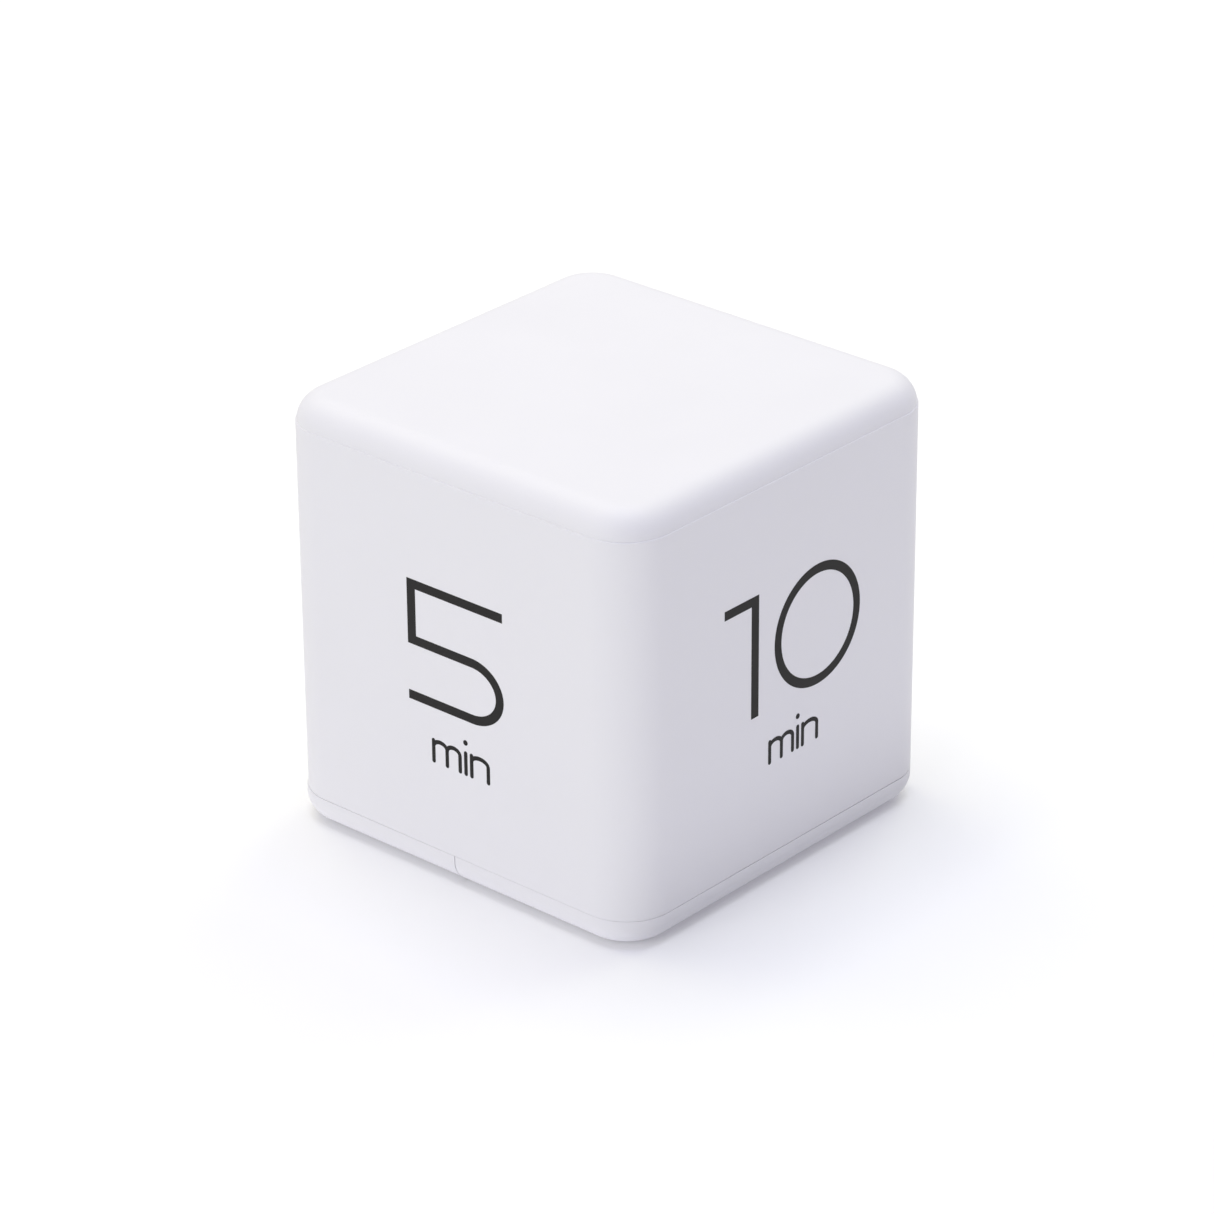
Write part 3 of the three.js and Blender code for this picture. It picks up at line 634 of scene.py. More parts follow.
# PVC wire insulation in two colours: smooth, slightly waxy.
PVC_RED = Finish("red_pvc", "B5241C", 0.38, grain=0.8)
PVC_BLACK = Finish("black_pvc", "1A1A1C", 0.38, grain=0.8)


@dataclass(frozen=True)
class SolderMask(Finish):
    """Green lacquer over copper tracks, which show through it as lighter lines."""

    tracks: str = "2F7743"
    pitch: float = 1.27
    lines: float = 9.0
    width: float = 0.28
    hidden: float = 0.46

    def colour_output(self, tree: Tree, place: Socket, patches: Socket) -> Socket:
        """Lighter lines at even steps of the square distance to scattered points.

        Args:
            tree: The material's tree.
            place: Object coordinates.
            patches: The patch noise, which hides some of the lines.

        Returns:
            The colour socket.
        """
        cells = add_node(tree, "TexVoronoi", {
            "Vector": place, "Scale": per_metre(self.lines * self.pitch), "Randomness": 0.9},
            distance="CHEBYCHEV", voronoi_dimensions="2D").outputs["Distance"]
        steps = add_node(tree, "Math", {0: cells, 1: self.lines}, operation="MULTIPLY")
        ramp = add_node(tree, "Math", {0: steps}, operation="FRACT")
        line = add_node(tree, "Math", {0: ramp, 1: self.width}, operation="LESS_THAN")
        shown = add_node(tree, "Math", {0: patches, 1: self.hidden}, operation="GREATER_THAN")
        both = add_node(tree, "Math", {0: line, 1: shown}, operation="MULTIPLY")
        base = super().colour_output(tree, place, patches)
        return add_node(tree, "Mix", {"Factor": both, "A": base, "B": linear(self.tracks)},
                        data_type="RGBA").outputs["Result"]


# Solder mask: glossy translucent green.
MASK = SolderMask("solder_mask", "1F5A33", 0.3, grain=0.6, relief=0.004, coat=0.3)


def dress(piece: Piece, finish: Finish, *patches: tuple[Finish, Test],
          origin: Sequence[float] = (0.0, 0.0, 0.0)) -> None:
    """Give a piece its finish, and other finishes where a test on a face's middle holds.

    Args:
        piece: The object.
        finish: The finish of the whole piece.
        patches: Another finish, and a test that takes x, y and z of the faces' middles in mm.
        origin: Where the tests' x, y and z are 0.
    """
    mesh = piece.data
    mesh.materials.clear()
    mesh.materials.append(finish.material())
    middles = np.empty(len(mesh.polygons) * 3)
    mesh.polygons.foreach_get("center", middles)
    x, y, z = (middles.reshape(-1, 3) / MM - np.asarray(origin)).T
    number = np.zeros(len(mesh.polygons), np.int32)
    for k, (other, test) in enumerate(patches, 1):
        mesh.materials.append(other.material())
        number[test(x, y, z)] = k
    mesh.polygons.foreach_set("material_index", number)


def stand_for(piece: Piece, node: str, slot: str, finish: Finish, *patches: tuple[Finish, Test],
              body: str = "housing", origin: Sequence[float] = (0.0, 0.0, 0.0)) -> None:
    """Let a dressed piece take a CAD node's place on its body.

    Args:
        piece: The new piece.
        node: The CAD node that it replaces.
        slot: The record's material slot; not used.
        finish: The finish of the whole piece.
        patches: Other finishes, each with the test that says which faces have it.
        body: The body that it rides on.
        origin: Where the tests' x, y and z are 0.
    """
    dress(piece, finish, *patches, origin=origin)
    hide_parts(node)
    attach(piece, body)
    log.info("%s: %d faces on %s", piece.name, len(piece.data.polygons), body)


# ---- Studio --------------------------------------------------------------------------------


def bearing_of(bearing: float, height: float) -> Vector:
    """The way out from the timer at a bearing from -Y towards +X and a height angle, in degrees."""
    a, e = math.radians(bearing), math.radians(height)
    return Vector((math.sin(a) * math.cos(e), -math.cos(a) * math.cos(e), math.sin(e)))


@dataclass(frozen=True)
class Lamp:
    """A square soft light that faces the timer, by its bearing, height angle, power and colour."""

    name: str
    bearing: float
    height: float
    power: float
    colour: str
    distance: float = 900.0
    size: float = 600.0
    aim: float = 30.0

    def build(self) -> None:
        """Put the light in the scene, turned to its aim on the timer's axis."""
        away = bearing_of(self.bearing, self.height)
        data = bpy.data.lights.new(self.name, "AREA")
        data.shape = "SQUARE"
        data.size = self.size * MM
        data.energy = self.power
        data.color = linear(self.colour)[:3]
        light = bpy.data.objects.new(self.name, data)
        light.location = (Vector((0, 0, self.aim)) + away * self.distance) * MM
        light.rotation_euler = (-away).to_track_quat("-Z", "Y").to_euler()
        bpy.context.scene.collection.objects.link(light)


@dataclass
class Studio:
    """Camera, soft lights and a pale floor.

    The floor gives a painted glow of its own over `lift_reach`, so that what rests on it isn't black
    when it is looked at from below, and beside +X its colour is darkened over `shade_reach`: a painted
    shadow that gives back less light there.
    """

    azimuth: float = 41.5526
    elevation: float = 26.4036
    distance: float = 692.456
    roll: float = -0.4257
    lens: float = 150.18
    aim_right: float = -0.288
    aim_up: float = 30.053
    floor_half: float = 3000.0
    floor_gap: float = 0.02
    floor_colour: str = "FAFAFC"
    room_light: float = 0.533
    room_colour: str = "F9F7FF"
    # The floor's painted glow, and the painted shadow on it beside +X, both seen only by short rays.
    floor_glow: float = 0.15
    lift_reach: Pair = (0.5, 30.0)
    shaded_side: Pair = (29.0, 36.0)
    shade_reach: Pair = (3.0, 26.0)
    shade: float = 0.55
    lamps: tuple[Lamp, ...] = (
        Lamp("overhead", 0, 90, 2.84, "DFE2FF"),
        Lamp("front", 0, 20, 1.815, "FCFFEF"),
        Lamp("back", 180, 50, 1.935, "FBFFDC"),
        Lamp("left", -90, 60, 1.975, "FFFBC9"),
    )

    def build(self) -> None:
        """Make the camera, the lights, the room and the floor."""
        bpy.context.scene.view_settings.view_transform = "Standard"
        self.camera()
        self.floor()
        self.room()
        for lamp in self.lamps:
            lamp.build()

    def camera(self) -> None:
        """Place the camera on its ring round the timer, rolled a little."""
        a, roll = math.radians(self.azimuth), math.radians(self.roll)
        level = Vector((math.cos(a), math.sin(a), 0))
        back = bearing_of(self.azimuth, self.elevation)
        upward = back.cross(level)
        right = math.cos(roll) * level + math.sin(roll) * upward
        head = math.cos(roll) * upward - math.sin(roll) * level
        aim = level * self.aim_right + Vector((0, 0, self.aim_up))
        data = bpy.data.cameras.new("camera")
        data.lens = self.lens
        data.clip_start, data.clip_end = 0.02, 20.0
        camera = bpy.data.objects.new("camera", data)
        turn = Matrix((right, head, back)).transposed().to_4x4()
        camera.matrix_world = Matrix.Translation((aim + back * self.distance) * MM) @ turn
        bpy.context.scene.collection.objects.link(camera)
        bpy.context.scene.camera = camera

    def room(self) -> None:
        """Fill the room with even pale light."""
        world = bpy.data.worlds.new("room")
        world.use_nodes = True
        background = world.node_tree.nodes["Background"].inputs
        background["Color"].default_value = linear(self.room_colour)
        background["Strength"].default_value = self.room_light
        bpy.context.scene.world = world

    def floor(self) -> None:
        """Lay a pale floor that can be looked through from below, with a painted glow and shadow."""
        corners = np.array([[-1, -1, 0], [1, -1, 0], [1, 1, 0], [-1, 1, 0]]) * self.floor_half
        plane = make_object("floor", Surface(corners, [[0, 1, 2, 3]]).moved(z=-self.floor_gap))
        made, tree = empty_material("pale_floor")
        travel = add_node(tree, "LightPath").outputs["Ray Length"]
        place = add_node(tree, "SeparateXYZ", {
            "Vector": add_node(tree, "TexCoord").outputs["Object"]}).outputs["X"]

        def ramp(value: Socket, reach: Pair, low: object, high: object) -> Socket:
            """Let one value follow another.

            Args:
                value: What it follows.
                reach: The stretch of that over which it changes, in millimetres.
                low: The value up to the start of the reach.
                high: The value past its end.

            Returns:
                The socket that gives it.
            """
            return add_node(tree, "MapRange", {
                "Value": value, "From Min": reach[0] * MM, "From Max": reach[1] * MM,
                "To Min": low, "To Max": high}).outputs["Result"]

        # Painted glow: the floor emits light to short rays, none beside +X, to light the timer from
        # below.
        painted_glow = ramp(travel, self.lift_reach, ramp(place, self.shaded_side, self.floor_glow, 0), 0)
        # Painted shadow: beside +X the floor colour darkens for short rays, so less light bounces onto
        # the timer's +X foot.
        painted_shadow = ramp(travel, self.shade_reach, ramp(place, self.shaded_side, 1.0, self.shade), 1.0)
        shadowed_floor_colour = add_node(tree, "MixRGB", {
            "Fac": painted_shadow, "Color1": linear("000000"), "Color2": linear(self.floor_colour)})
        paint = add_node(tree, "BsdfPrincipled", {
            "Base Color": shadowed_floor_colour, "Roughness": 0.9, "Specular IOR Level": 0.0,
            "Emission Color": linear("FFFFFF"), "Emission Strength": painted_glow})
        choice = add_node(tree, "MixShader", {
            0: add_node(tree, "NewGeometry").outputs["Backfacing"], 1: paint,
            2: add_node(tree, "BsdfTransparent")})
        add_node(tree, "OutputMaterial", {"Surface": choice})
        made.cycles.emission_sampling = "NONE"
        plane.data.materials.append(made)


# ---- Covers --------------------------------------------------------------------------------


def slice_of(low: float, high: float) -> Surface:
    """Everything between two planes across X."""
    return block((low, high), (-FAR, FAR), (-FAR, FAR))


@dataclass
class Covers:
    """The sleeve, the top cover, and the two halves of the base."""

    corner: float = 7.3
    fillet: float = 4.0
    foot_fillet: float = 3.7
    wall: float = 2.0
    top_seam: float = 59.8
    base_seam: float = 4.5
    base_gap: float = 0.015
    base_droop: float = 0.06
    cover_step: float = 0.14
    lip: float = 0.015
    door_lip: float = 0.1
    spigot_gap: float = 0.35
    spigot_wall: float = 1.4
    spigot_bottom: float = 55.5
    bead_z: Pair = (56.95, 57.85)
    top_edge: float = 0.2
    low_edge: float = 0.05
    split: float = 0.065
    floor: float = 2.0
    rim_top: float = 6.4
    deck_bottom: float = 4.65
    wall_by_split: float = 1.6
    door_plate: float = 1.8
    door_inset: float = 2.05
    door_proud: float = 0.13
    door_drop: float = 0.02
    boss_radius: float = 3.1
    boss_z: Pair = (7.05, 16.0)

    def build(self) -> None:
        """Make the four mouldings and dress them."""
        stand_for(self.top_cover(), "top_cover", "abs_white", SATIN_ABS)
        stand_for(self.sleeve(), "body_shell", "abs_white", SATIN_ABS)
        stand_for(self.base(), "base_housing", "abs_white", SATIN_ABS)
        stand_for(self.door(), "battery_door", "abs_white", SATIN_ABS, body="battery_door")

    def plan(self, more_x: float = 0.0, more_y: float = 0.0, corner: float = 0.0) -> Outline:
        """The cube's plan, with its half sizes and its corners' radius made larger by so much."""
        return Outline.rounded((HALF + more_x, HALF + more_y), self.corner + corner)

    def outer_foot(self, top: float, lip: float) -> np.ndarray:
        """The outside of the base from its seam edge down to the underside.

        Args:
            top: Height of the seam edge.
            lip: Radius of the seam edge.

        Returns:
            Array (n, 2) of inset and z.
        """
        f = self.foot_fillet
        return line_of(arc((lip, top - lip), (lip, lip), 90, 180, 4), [(0, f + 0.15)],
                       arc((f, f), (f, f), 180, 270, 20), [(f + 0.3, 0)])

    def top_cover(self) -> Piece:
        """The roof with its round edge, and the spigot and snap beads inside the sleeve.

        Returns:
            The piece.
        """
        low, f, e, w, step = self.top_seam, self.fillet, self.lip, self.wall, self.cover_step
        reach = math.degrees(math.asin((low + e - (HEIGHT - f)) / f))
        out = w + self.spigot_gap - step
        inner = out + self.spigot_wall
        bottom = self.spigot_bottom
        line = line_of(
            [(f + 0.3, HEIGHT)],
            arc((f, HEIGHT - f), (f, f), 90, 180 - reach, 20),
            arc((e, low + e), (e, e), 180, 270, 4),
            [(out - 0.2, low), (out, low - 0.2), (out, bottom + 0.3), (out + 0.3, bottom),
             (inner - 0.2, bottom), (inner, bottom + 0.2), (inner, HEIGHT - w - 0.5),
             (inner + 0.5, HEIGHT - w)])
        return carve("top_cover_moulding", self.plan(-step, -step, -step).carried(line),
                     Join.ADD.each(*self.snap_beads(0.0)))

    def snap_beads(self, clearance: float) -> list[Surface]:
        """Bars round the spigot, two to a side, or the sleeve's grooves for them.

        Args:
            clearance: How much larger than the beads they are all round.

        Returns:
            The bars.
        """
        reach = HALF - self.wall - self.spigot_gap + 0.5 + clearance
        z = (self.bead_z[0] - clearance, self.bead_z[1] + clearance)
        bars = []
        for place in (-14, 14):
            along = (place - 5 - clearance, place + 5 + clearance)
            for side in SIDES:
                deep = across(side, reach - 1.2, reach)
                bars += [block(along, deep, z, 0.2), block(deep, along, z, 0.2)]
        return bars

    def sleeve(self) -> Piece:
        """The four-sided wall, with its screw bosses, snap grooves and hook pockets.

        Returns:
            The piece.
        """
        top, low = self.top_seam, self.base_seam + self.base_gap / 2
        e, g, w = self.low_edge, self.top_edge, self.wall
        line = line_of(
            arc((e, low + e), (e, e), 270, 180, 4), [(0, low + 1.0), (0, top - 1.0)],
            arc((g, top - g), (g, g), 180, 90, 6),
            [(w - 0.1, top), (w, top - 0.1), (w, low + 0.1), (w - 0.1, low)])
        steps = Join.CUT.each(*self.snap_beads(0.3))
        for side in SIDES:
            steps += Join.CUT.each(block((-30.65, -28.75), across(side, 7.6, 13.4), (8.4, 10.2)))
            steps += self.screw_boss(side)
        return carve("sleeve_moulding", self.plan().carried(line, closed=True), steps)

    def screw_boss(self, side: int) -> Steps:
        """A boss tied to both walls by webs, with a blind pilot hole from below.

        Args:
            side: -1 or 1, the side of Y that it stands on.

        Returns:
            The steps that add it to the sleeve.
        """
        at = middle("base_screw_1")[0]
        y, web, reach = side * at, 0.7, HALF - self.wall + 0.5
        return [
            *Join.ADD.each(block((at, reach), (y - web, y + web), self.boss_z),
                           block((at - web, at + web), across(side, at, reach), self.boss_z),
                           round_bar(at, y, self.boss_radius, self.boss_z)),
            *Join.CUT.each(round_bar(at, y, 1.3, (0, self.boss_z[1] - 1))),
        ]

    def base(self) -> Piece:
        """The fixed half of the underside, the deck over the door, and all that stands on them.

        Returns:
            The piece.
        """
        seam = self.base_seam - self.base_gap / 2
        out = self.wall + self.spigot_gap
        inner = out + self.spigot_wall
        tray = self.plan().carried(line_of(
            [(inner + 0.4, self.floor), (inner, self.floor + 0.4), (inner, self.rim_top - 0.2),
             (inner - 0.2, self.rim_top), (out + 0.3, self.rim_top), (out, self.rim_top - 0.3),
             (out, seam + 0.1), (out - 0.1, seam)],
            self.outer_foot(seam, self.lip)))
        x, y, z = tray.points.T
        away = np.clip((x - HALF + self.corner) / self.corner, 0, 1) * (1 + y / HALF / 2)
        tray.points[:, 2] -= away * self.base_droop * np.clip(z / seam, 0, 1)
        deck_plan = Outline.rounded((HALF - out,) * 2, self.corner - out, steps=10)
        deck = carved(deck_plan.carried(line_of([(0, self.rim_top), (0, self.deck_bottom)])),
                      Join.KEEP.each(slice_of(-FAR, self.wall_by_split)))
        steps = [
            *Join.KEEP.each(slice_of(self.split, FAR)),
            *Join.ADD.each(block((self.split, self.wall_by_split), (-28.5, 28.5), (1.0, 5.5)), deck),
            *BatteryBay().steps(),
        ]
        return carve("base_moulding", tray, steps)

    def door(self) -> Piece:
        """The tray that slides off, with its runners, thumb ribs and arrow.

        Returns:
            The piece.
        """
        top = self.base_seam - self.base_gap / 2
        inset = self.door_inset
        tray = self.plan(self.door_proud).carried(line_of(
            [(inset + 0.4, self.door_plate), (inset, self.door_plate + 0.4), (inset, top - 0.15),
             (inset - 0.15, top)],
            self.outer_foot(top, self.door_lip)))
        far = -tray.points[:, 0] / HALF
        tray.points[:, 1] *= 1 + far * self.door_proud / HALF
        tray.points[:, 2] -= far * self.door_drop * np.clip(tray.points[:, 2] / top, 0, 1)
        runners = [block((-27, -2), across(side, 26.6, 30.5), (3.3, 4.3), 0.2) for side in SIDES]
        ribs = [block((x, x + 0.8), (-8, 8), (-0.5, 0.5), 0.3) for x in -27.2 + 1.6 * np.arange(4)]
        arrow = extruded(np.array([(-19, 0), (-13, -4.5), (-13, 4.5)]), (-1.0, 0.5))
        return carve("door_moulding", tray, [
            *Join.KEEP.each(slice_of(-FAR, -self.split)), *Join.ADD.each(*runners),
            *Join.CUT.each(*ribs, arrow)])


# ---- Printed times -------------------------------------------------------------------------


class Side(Enum):
    """The four printed sides, each with its turn about Z from the -Y side, in degrees."""

    FRONT = 0
    RIGHT = 90
    BACK = 180
    LEFT = 270


@dataclass
class Print:
    """The ink of the four times: large thin figures, and a small rounded "min" below them.

    A figure is drawn flat with its foot towards -Y, in its side's own right and up, one unit thick.
    """

    proud: float = 0.02
    sunk: float = 0.1
    foot: float = 26.0
    head: float = 44.0
    bar: float = 1.35
    stem: float = 1.5
    ring: Pair = (7.58, 8.97)
    pen: float = 0.31

    def build(self) -> None:
        """Make the ink of each side in one piece and dress it."""
        five, one, three, zero, unit_word = (
            self.five(), self.one(), self.three(), self.zero(), self.unit_word())
        times = {
            Side.FRONT: ((five, 0.0, 0.0), (unit_word, 0.0, 0.0)),
            Side.RIGHT: ((one, 0.0, 0.5), (zero, 6.05, 35.5), (unit_word, -0.37, 0.55)),
            Side.BACK: ((one, -0.9, 0.2), (five, 4.6, 0.2), (unit_word, 0.0, 0.3)),
            Side.LEFT: ((three, -9.4, 0.2), (zero, 8.4, 35.2), (unit_word, 0.0, 0.3)),
        }
        for side, figures in times.items():
            shapes = [shape.moved(x, up) for figure, x, up in figures for shape in figure]
            flat = carved(shapes[0], Join.ADD.each(*shapes[1:]))
            x, y, z = flat.points.T
            depth = -(HALF - self.sunk + z * (self.proud + self.sunk))
            upright = Surface(np.stack([x, depth, y], axis=1), flat.faces).turned(side.value)
            ink = make_object(f"print_{side.name.lower()}", upright)
            dress(ink, PAD_INK)
            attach(ink, "housing")
            log.info("%s: %d faces on housing", ink.name, len(ink.data.polygons))

    def shape(self, *stretches: Points) -> Surface:
        """One closed figure of the ink."""
        return extruded(line_of(*stretches), (0.0, 1.0))

    def bowl(self, centre: Pair, half: Pair, wall: Pair, steps: int) -> list[np.ndarray]:
        """The outside of a bowl that opens to the left, upwards, and its inside, downwards.

        Args:
            centre: Middle of the bowl.
            half: Half axes of its outside.
            wall: Thickness of its line, across and upwards.
            steps: Steps in each arc.

        Returns:
            The two arcs.
        """
        return [arc(centre, half, -90, 90, steps),
                arc(centre, (half[0] - wall[0], half[1] - wall[1]), 90, -90, steps)]

    def five(self) -> list[Surface]:
        """A five with square corners and an elliptic bowl.

        Returns:
            Its shapes.
        """
        outside, inside = self.bowl((3.8, 30.85), (5.7, 4.85), (1.4, self.bar), 40)
        left, under = -7.65, self.head - self.bar
        return [self.shape([(9.45, under), (9.45, self.head), (left, self.head), (left, 34.35)], inside,
                           [(left - 0.05, self.foot + self.bar), (left - 0.05, self.foot)], outside,
                           [(left + self.stem, 35.7), (left + self.stem, under)])]

    def three(self) -> list[Surface]:
        """A three with two elliptic bowls that meet in a middle bar.

        Returns:
            Its shapes.
        """
        low, high, b, waist = self.foot, self.head, self.bar, 35.4
        half_low, half_high = (waist + b / 2 - low) / 2, (high - waist + b / 2) / 2
        upper = self.bowl((0.9, high - half_high), (5.2, half_high), (b, b), 36)
        lower = self.bowl((0.9, low + half_low), (5.7, half_low), (b, b), 40)
        bar_top, bar_foot = [(-3.2, waist + b / 2)], [(-3.2, waist - b / 2)]
        return [
            self.shape([(-6.6, low)], lower[0], bar_top, bar_foot, lower[1], [(-6.6, low + b)]),
            self.shape(bar_foot, upper[0], [(-6.0, high), (-6.0, high - b)], upper[1], bar_top),
        ]

    def one(self) -> list[Surface]:
        """A one with a straight flag.

        Returns:
            Its shapes.
        """
        left, top, under, foot = -7.7, self.head, self.head - self.bar, self.foot + 0.05
        return [self.shape([(-13.2, top), (-13.2, under), (left, under), (left, foot),
                            (left + self.stem, foot), (left + self.stem, top)])]

    def zero(self) -> list[Surface]:
        """A round zero, a flat ring about the origin."""
        inner, outer = self.ring
        return [revolved([(inner, 0), (outer, 0), (outer, 1), (inner, 1)], 128)]

    def unit_word(self) -> list[Surface]:
        """The small "min", drawn with a round pen.

        Returns:
            Its shapes.
        """
        foot, spring, rise, i = 17.98, 20.25, 0.82, 2.45
        strokes = []
        for left, arches in ((-3.4, (2.45, 2.35)), (3.5, (3.0,))):
            strokes.append(self.pen_line([(left, foot), (left, spring + rise)]))
            for width in arches:
                over = arc((left + width / 2, spring), (width / 2, rise), 180, 0, 16)
                strokes.append(self.pen_line([*over.tolist(), (left + width, foot)]))
                left += width
        strokes.append(self.pen_line([(i, foot), (i, spring + rise)]))
        return [*strokes, self.shape(arc((i, 22.65), (0.4, 0.4), 0, 352.5, 47))]

    def pen_line(self, points: Points) -> Surface:
        """A stroke of the round pen: the line offset to both sides, with half circles at its ends.

        Args:
            points: The line that the pen's middle follows.

        Returns:
            The stroke.
        """
        line = np.asarray(points, float)
        offset = aside(line, self.pen)
        first, last = ((line[1] - line[0]), (line[-1] - line[-2]))
        start, end = (math.degrees(math.atan2(v[1], v[0])) for v in (first, last))
        return self.shape((line + offset)[1:-1],
                          arc(tuple(line[-1]), (self.pen,) * 2, end - 90, end + 90, 10),
                          (line - offset)[-2:0:-1],
                          arc(tuple(line[0]), (self.pen,) * 2, start + 90, start + 270, 10))


# ---- Battery bay ---------------------------------------------------------------------------


@dataclass
class BatteryBay:
    """The walls of the battery bay and of everything else that stands on the base."""

    x: Pair = (-24.0, -1.0)
    y: float = 22.6
    roof: float = 13.8
    wall: float = 1.2
    pocket_y: float = 27.0
    pocket_roof: float = 12.4
    deck: float = 4.6
    deck_top: float = 6.4
    rail_bottom: float = 2.1
    floor: float = 1.0
    below: float = -1.0
    sound_hole: float = 0.8
    sound_ring: float = 4.0

    def steps(self) -> Steps:
        """The steps that add the moulded details to the base."""
        return [*Join.ADD.each(*self.outside(), *self.hooks(), *self.bosses()),
                *Join.CUT.each(*self.hollows(), *self.holes()), *Join.ADD.each(*self.inserts())]

    def outside(self) -> list[Surface]:
        """Rails for the door's runners and the outside of the bay.

        Returns:
            The solids that are added.
        """
        wall, low, foot = self.wall, self.rail_bottom, self.deck + 0.5
        x = (self.x[0] - wall, self.x[1] + wall)
        bay, pocket = self.y + wall, self.pocket_y + wall
        parts = [block((-27.9, -26.7), (-25.5, 25.5), (low, foot)),
                 block(x, (-bay, bay), (low, self.roof + wall), 0.3),
                 block(x, (-pocket, pocket), (self.deck + 0.4, self.pocket_roof + wall), 0.3)]
        for side in SIDES:
            parts += [block((-27.9, 1), across(side, 25.0, 26.2), (low, foot)),
                      block((-27.9, 1), across(side, 25.0, 27.8), (low, 3.0), 0.15)]
        return parts

    def hooks(self) -> list[Surface]:
        """Two tongues with barbs that catch in the sleeve.

        Returns:
            The solids that are added.
        """
        parts = []
        for side in SIDES:
            y = across(side, 8.0, 13.0)
            parts += [block((-29.4, -28.2), y, (self.deck + 0.5, 10.2), 0.15),
                      block((-30.3, -28.9), y, (8.8, 9.8), 0.15)]
        return parts

    def bosses(self) -> list[Surface]:
        """Screw wells, board pillars, the sounder's seat and the switch's bosses.

        Returns:
            The solids that are added.
        """
        floor = self.floor
        seat = [(8.8, floor), (11.0, floor), (11.0, 4.0), (10.8, 4.2), (10.3, 4.2), (10.3, 3.2),
                (8.8, 3.2)]
        well = [(0, 6.9), (2.9, 6.9), (3.1, 6.7), (3.1, floor), (0, floor)]
        boss = [(0, 1.5), (0.75, 1.5), (0.75, 3.5), (1.9, 3.5), (1.9, floor), (0, floor)]
        parts = [standing("piezo_disc", seat, 96)]
        for k in (1, 2):
            parts += [standing(f"base_screw_{k}", well), standing(f"switch_screw_{k}", boss, 36)]
        for k in (1, 2, 3, 4):
            foot = floor if middle(f"pcb_screw_{k}")[0] > 0 else self.roof + 0.6
            pillar = [(0, 15.8), (0.85, 15.8), (0.85, 19.9), (2.25, 19.9), (2.4, 19.75),
                      (2.4, foot), (0, foot)]
            parts.append(standing(f"pcb_screw_{k}", pillar))
        return parts

    def hollows(self) -> list[Surface]:
        """The inside of the bay, and its pockets for the contacts."""
        return [block(self.x, (-self.y, self.y), (self.below, self.roof)),
                block(self.x, (-self.pocket_y, self.pocket_y), (self.deck - 0.1, self.pocket_roof))]

    def holes(self) -> list[Surface]:
        """Holes for solder tabs, screws, sound and the switch's knob.

        Returns:
            The solids that are cut away.
        """
        (x, y, _), (cx, cy, _), through = middle("piezo_disc"), middle("switch_frame"), (self.below, 3.0)
        parts = [block((-19.7, -16.7), (-27.0, -26.2), (self.deck_top, 20.0)),
                 block((-8.3, -5.3), (-23.15, -22.2), (self.deck_top, 20.0)),
                 block((cx - 2.4, cx + 2.4), (cy - 1.2, cy + 1.2), through),
                 round_bar(x, y, self.sound_hole, through, 24)]
        for t in np.radians(60.0 * np.arange(6)):
            parts.append(round_bar(x + self.sound_ring * np.cos(t), y + self.sound_ring * np.sin(t),
                                   self.sound_hole, through, 24))
        low = self.below
        bore = [(0, 9), (1.4, 9), (1.4, 4.4), (2.4, 4.4), (2.4, low), (0, low)]
        return parts + [standing(f"base_screw_{k}", bore) for k in (1, 2)]

    def inserts(self) -> list[Surface]:
        """Blocks behind the flat contacts, and the rib between the cells.

        Returns:
            The solids that are added.
        """
        high = (5.0, self.pocket_roof + 0.5)
        return [block((-21.4, -15.0), (23.2, 27.5), high), block((-10.0, -3.6), (-27.5, -23.2), high),
                block((-13.1, -11.9), (-20, 20), (10.6, self.roof + 0.5), 0.2)]


# ---- Power ---------------------------------------------------------------------------------


def strip(points: Sequence[Pair], thick: float, z: Pair, bend: float = 0.6) -> Surface:
    """A bent metal strip on edge: a line in plan with round bends, offset to both sides.

    Each corner of the line becomes a quadratic curve between the points `bend` before and after it.

    Args:
        points: The corners of the strip's middle line.
        thick: The strip's thickness.
        z: Low and high edge.
        bend: How far from a corner its bend starts.

    Returns:
        The surface.
    """
    corners = np.asarray(points, float)
    t = np.linspace(0, 1, 7)[:, None]
    line = [corners[:1]]
    for before, corner, after in zip(corners, corners[1:], corners[2:]):
        start, end = corner + bend * unit(before - corner), corner + bend * unit(after - corner)
        line.append((1 - t) ** 2 * start + 2 * t * (1 - t) * corner + t ** 2 * end)
    centre = line_of(*line, corners[-1:])
    offset = aside(centre, thick / 2)
    return extruded(line_of(centre + offset, (centre - offset)[::-1]), z)


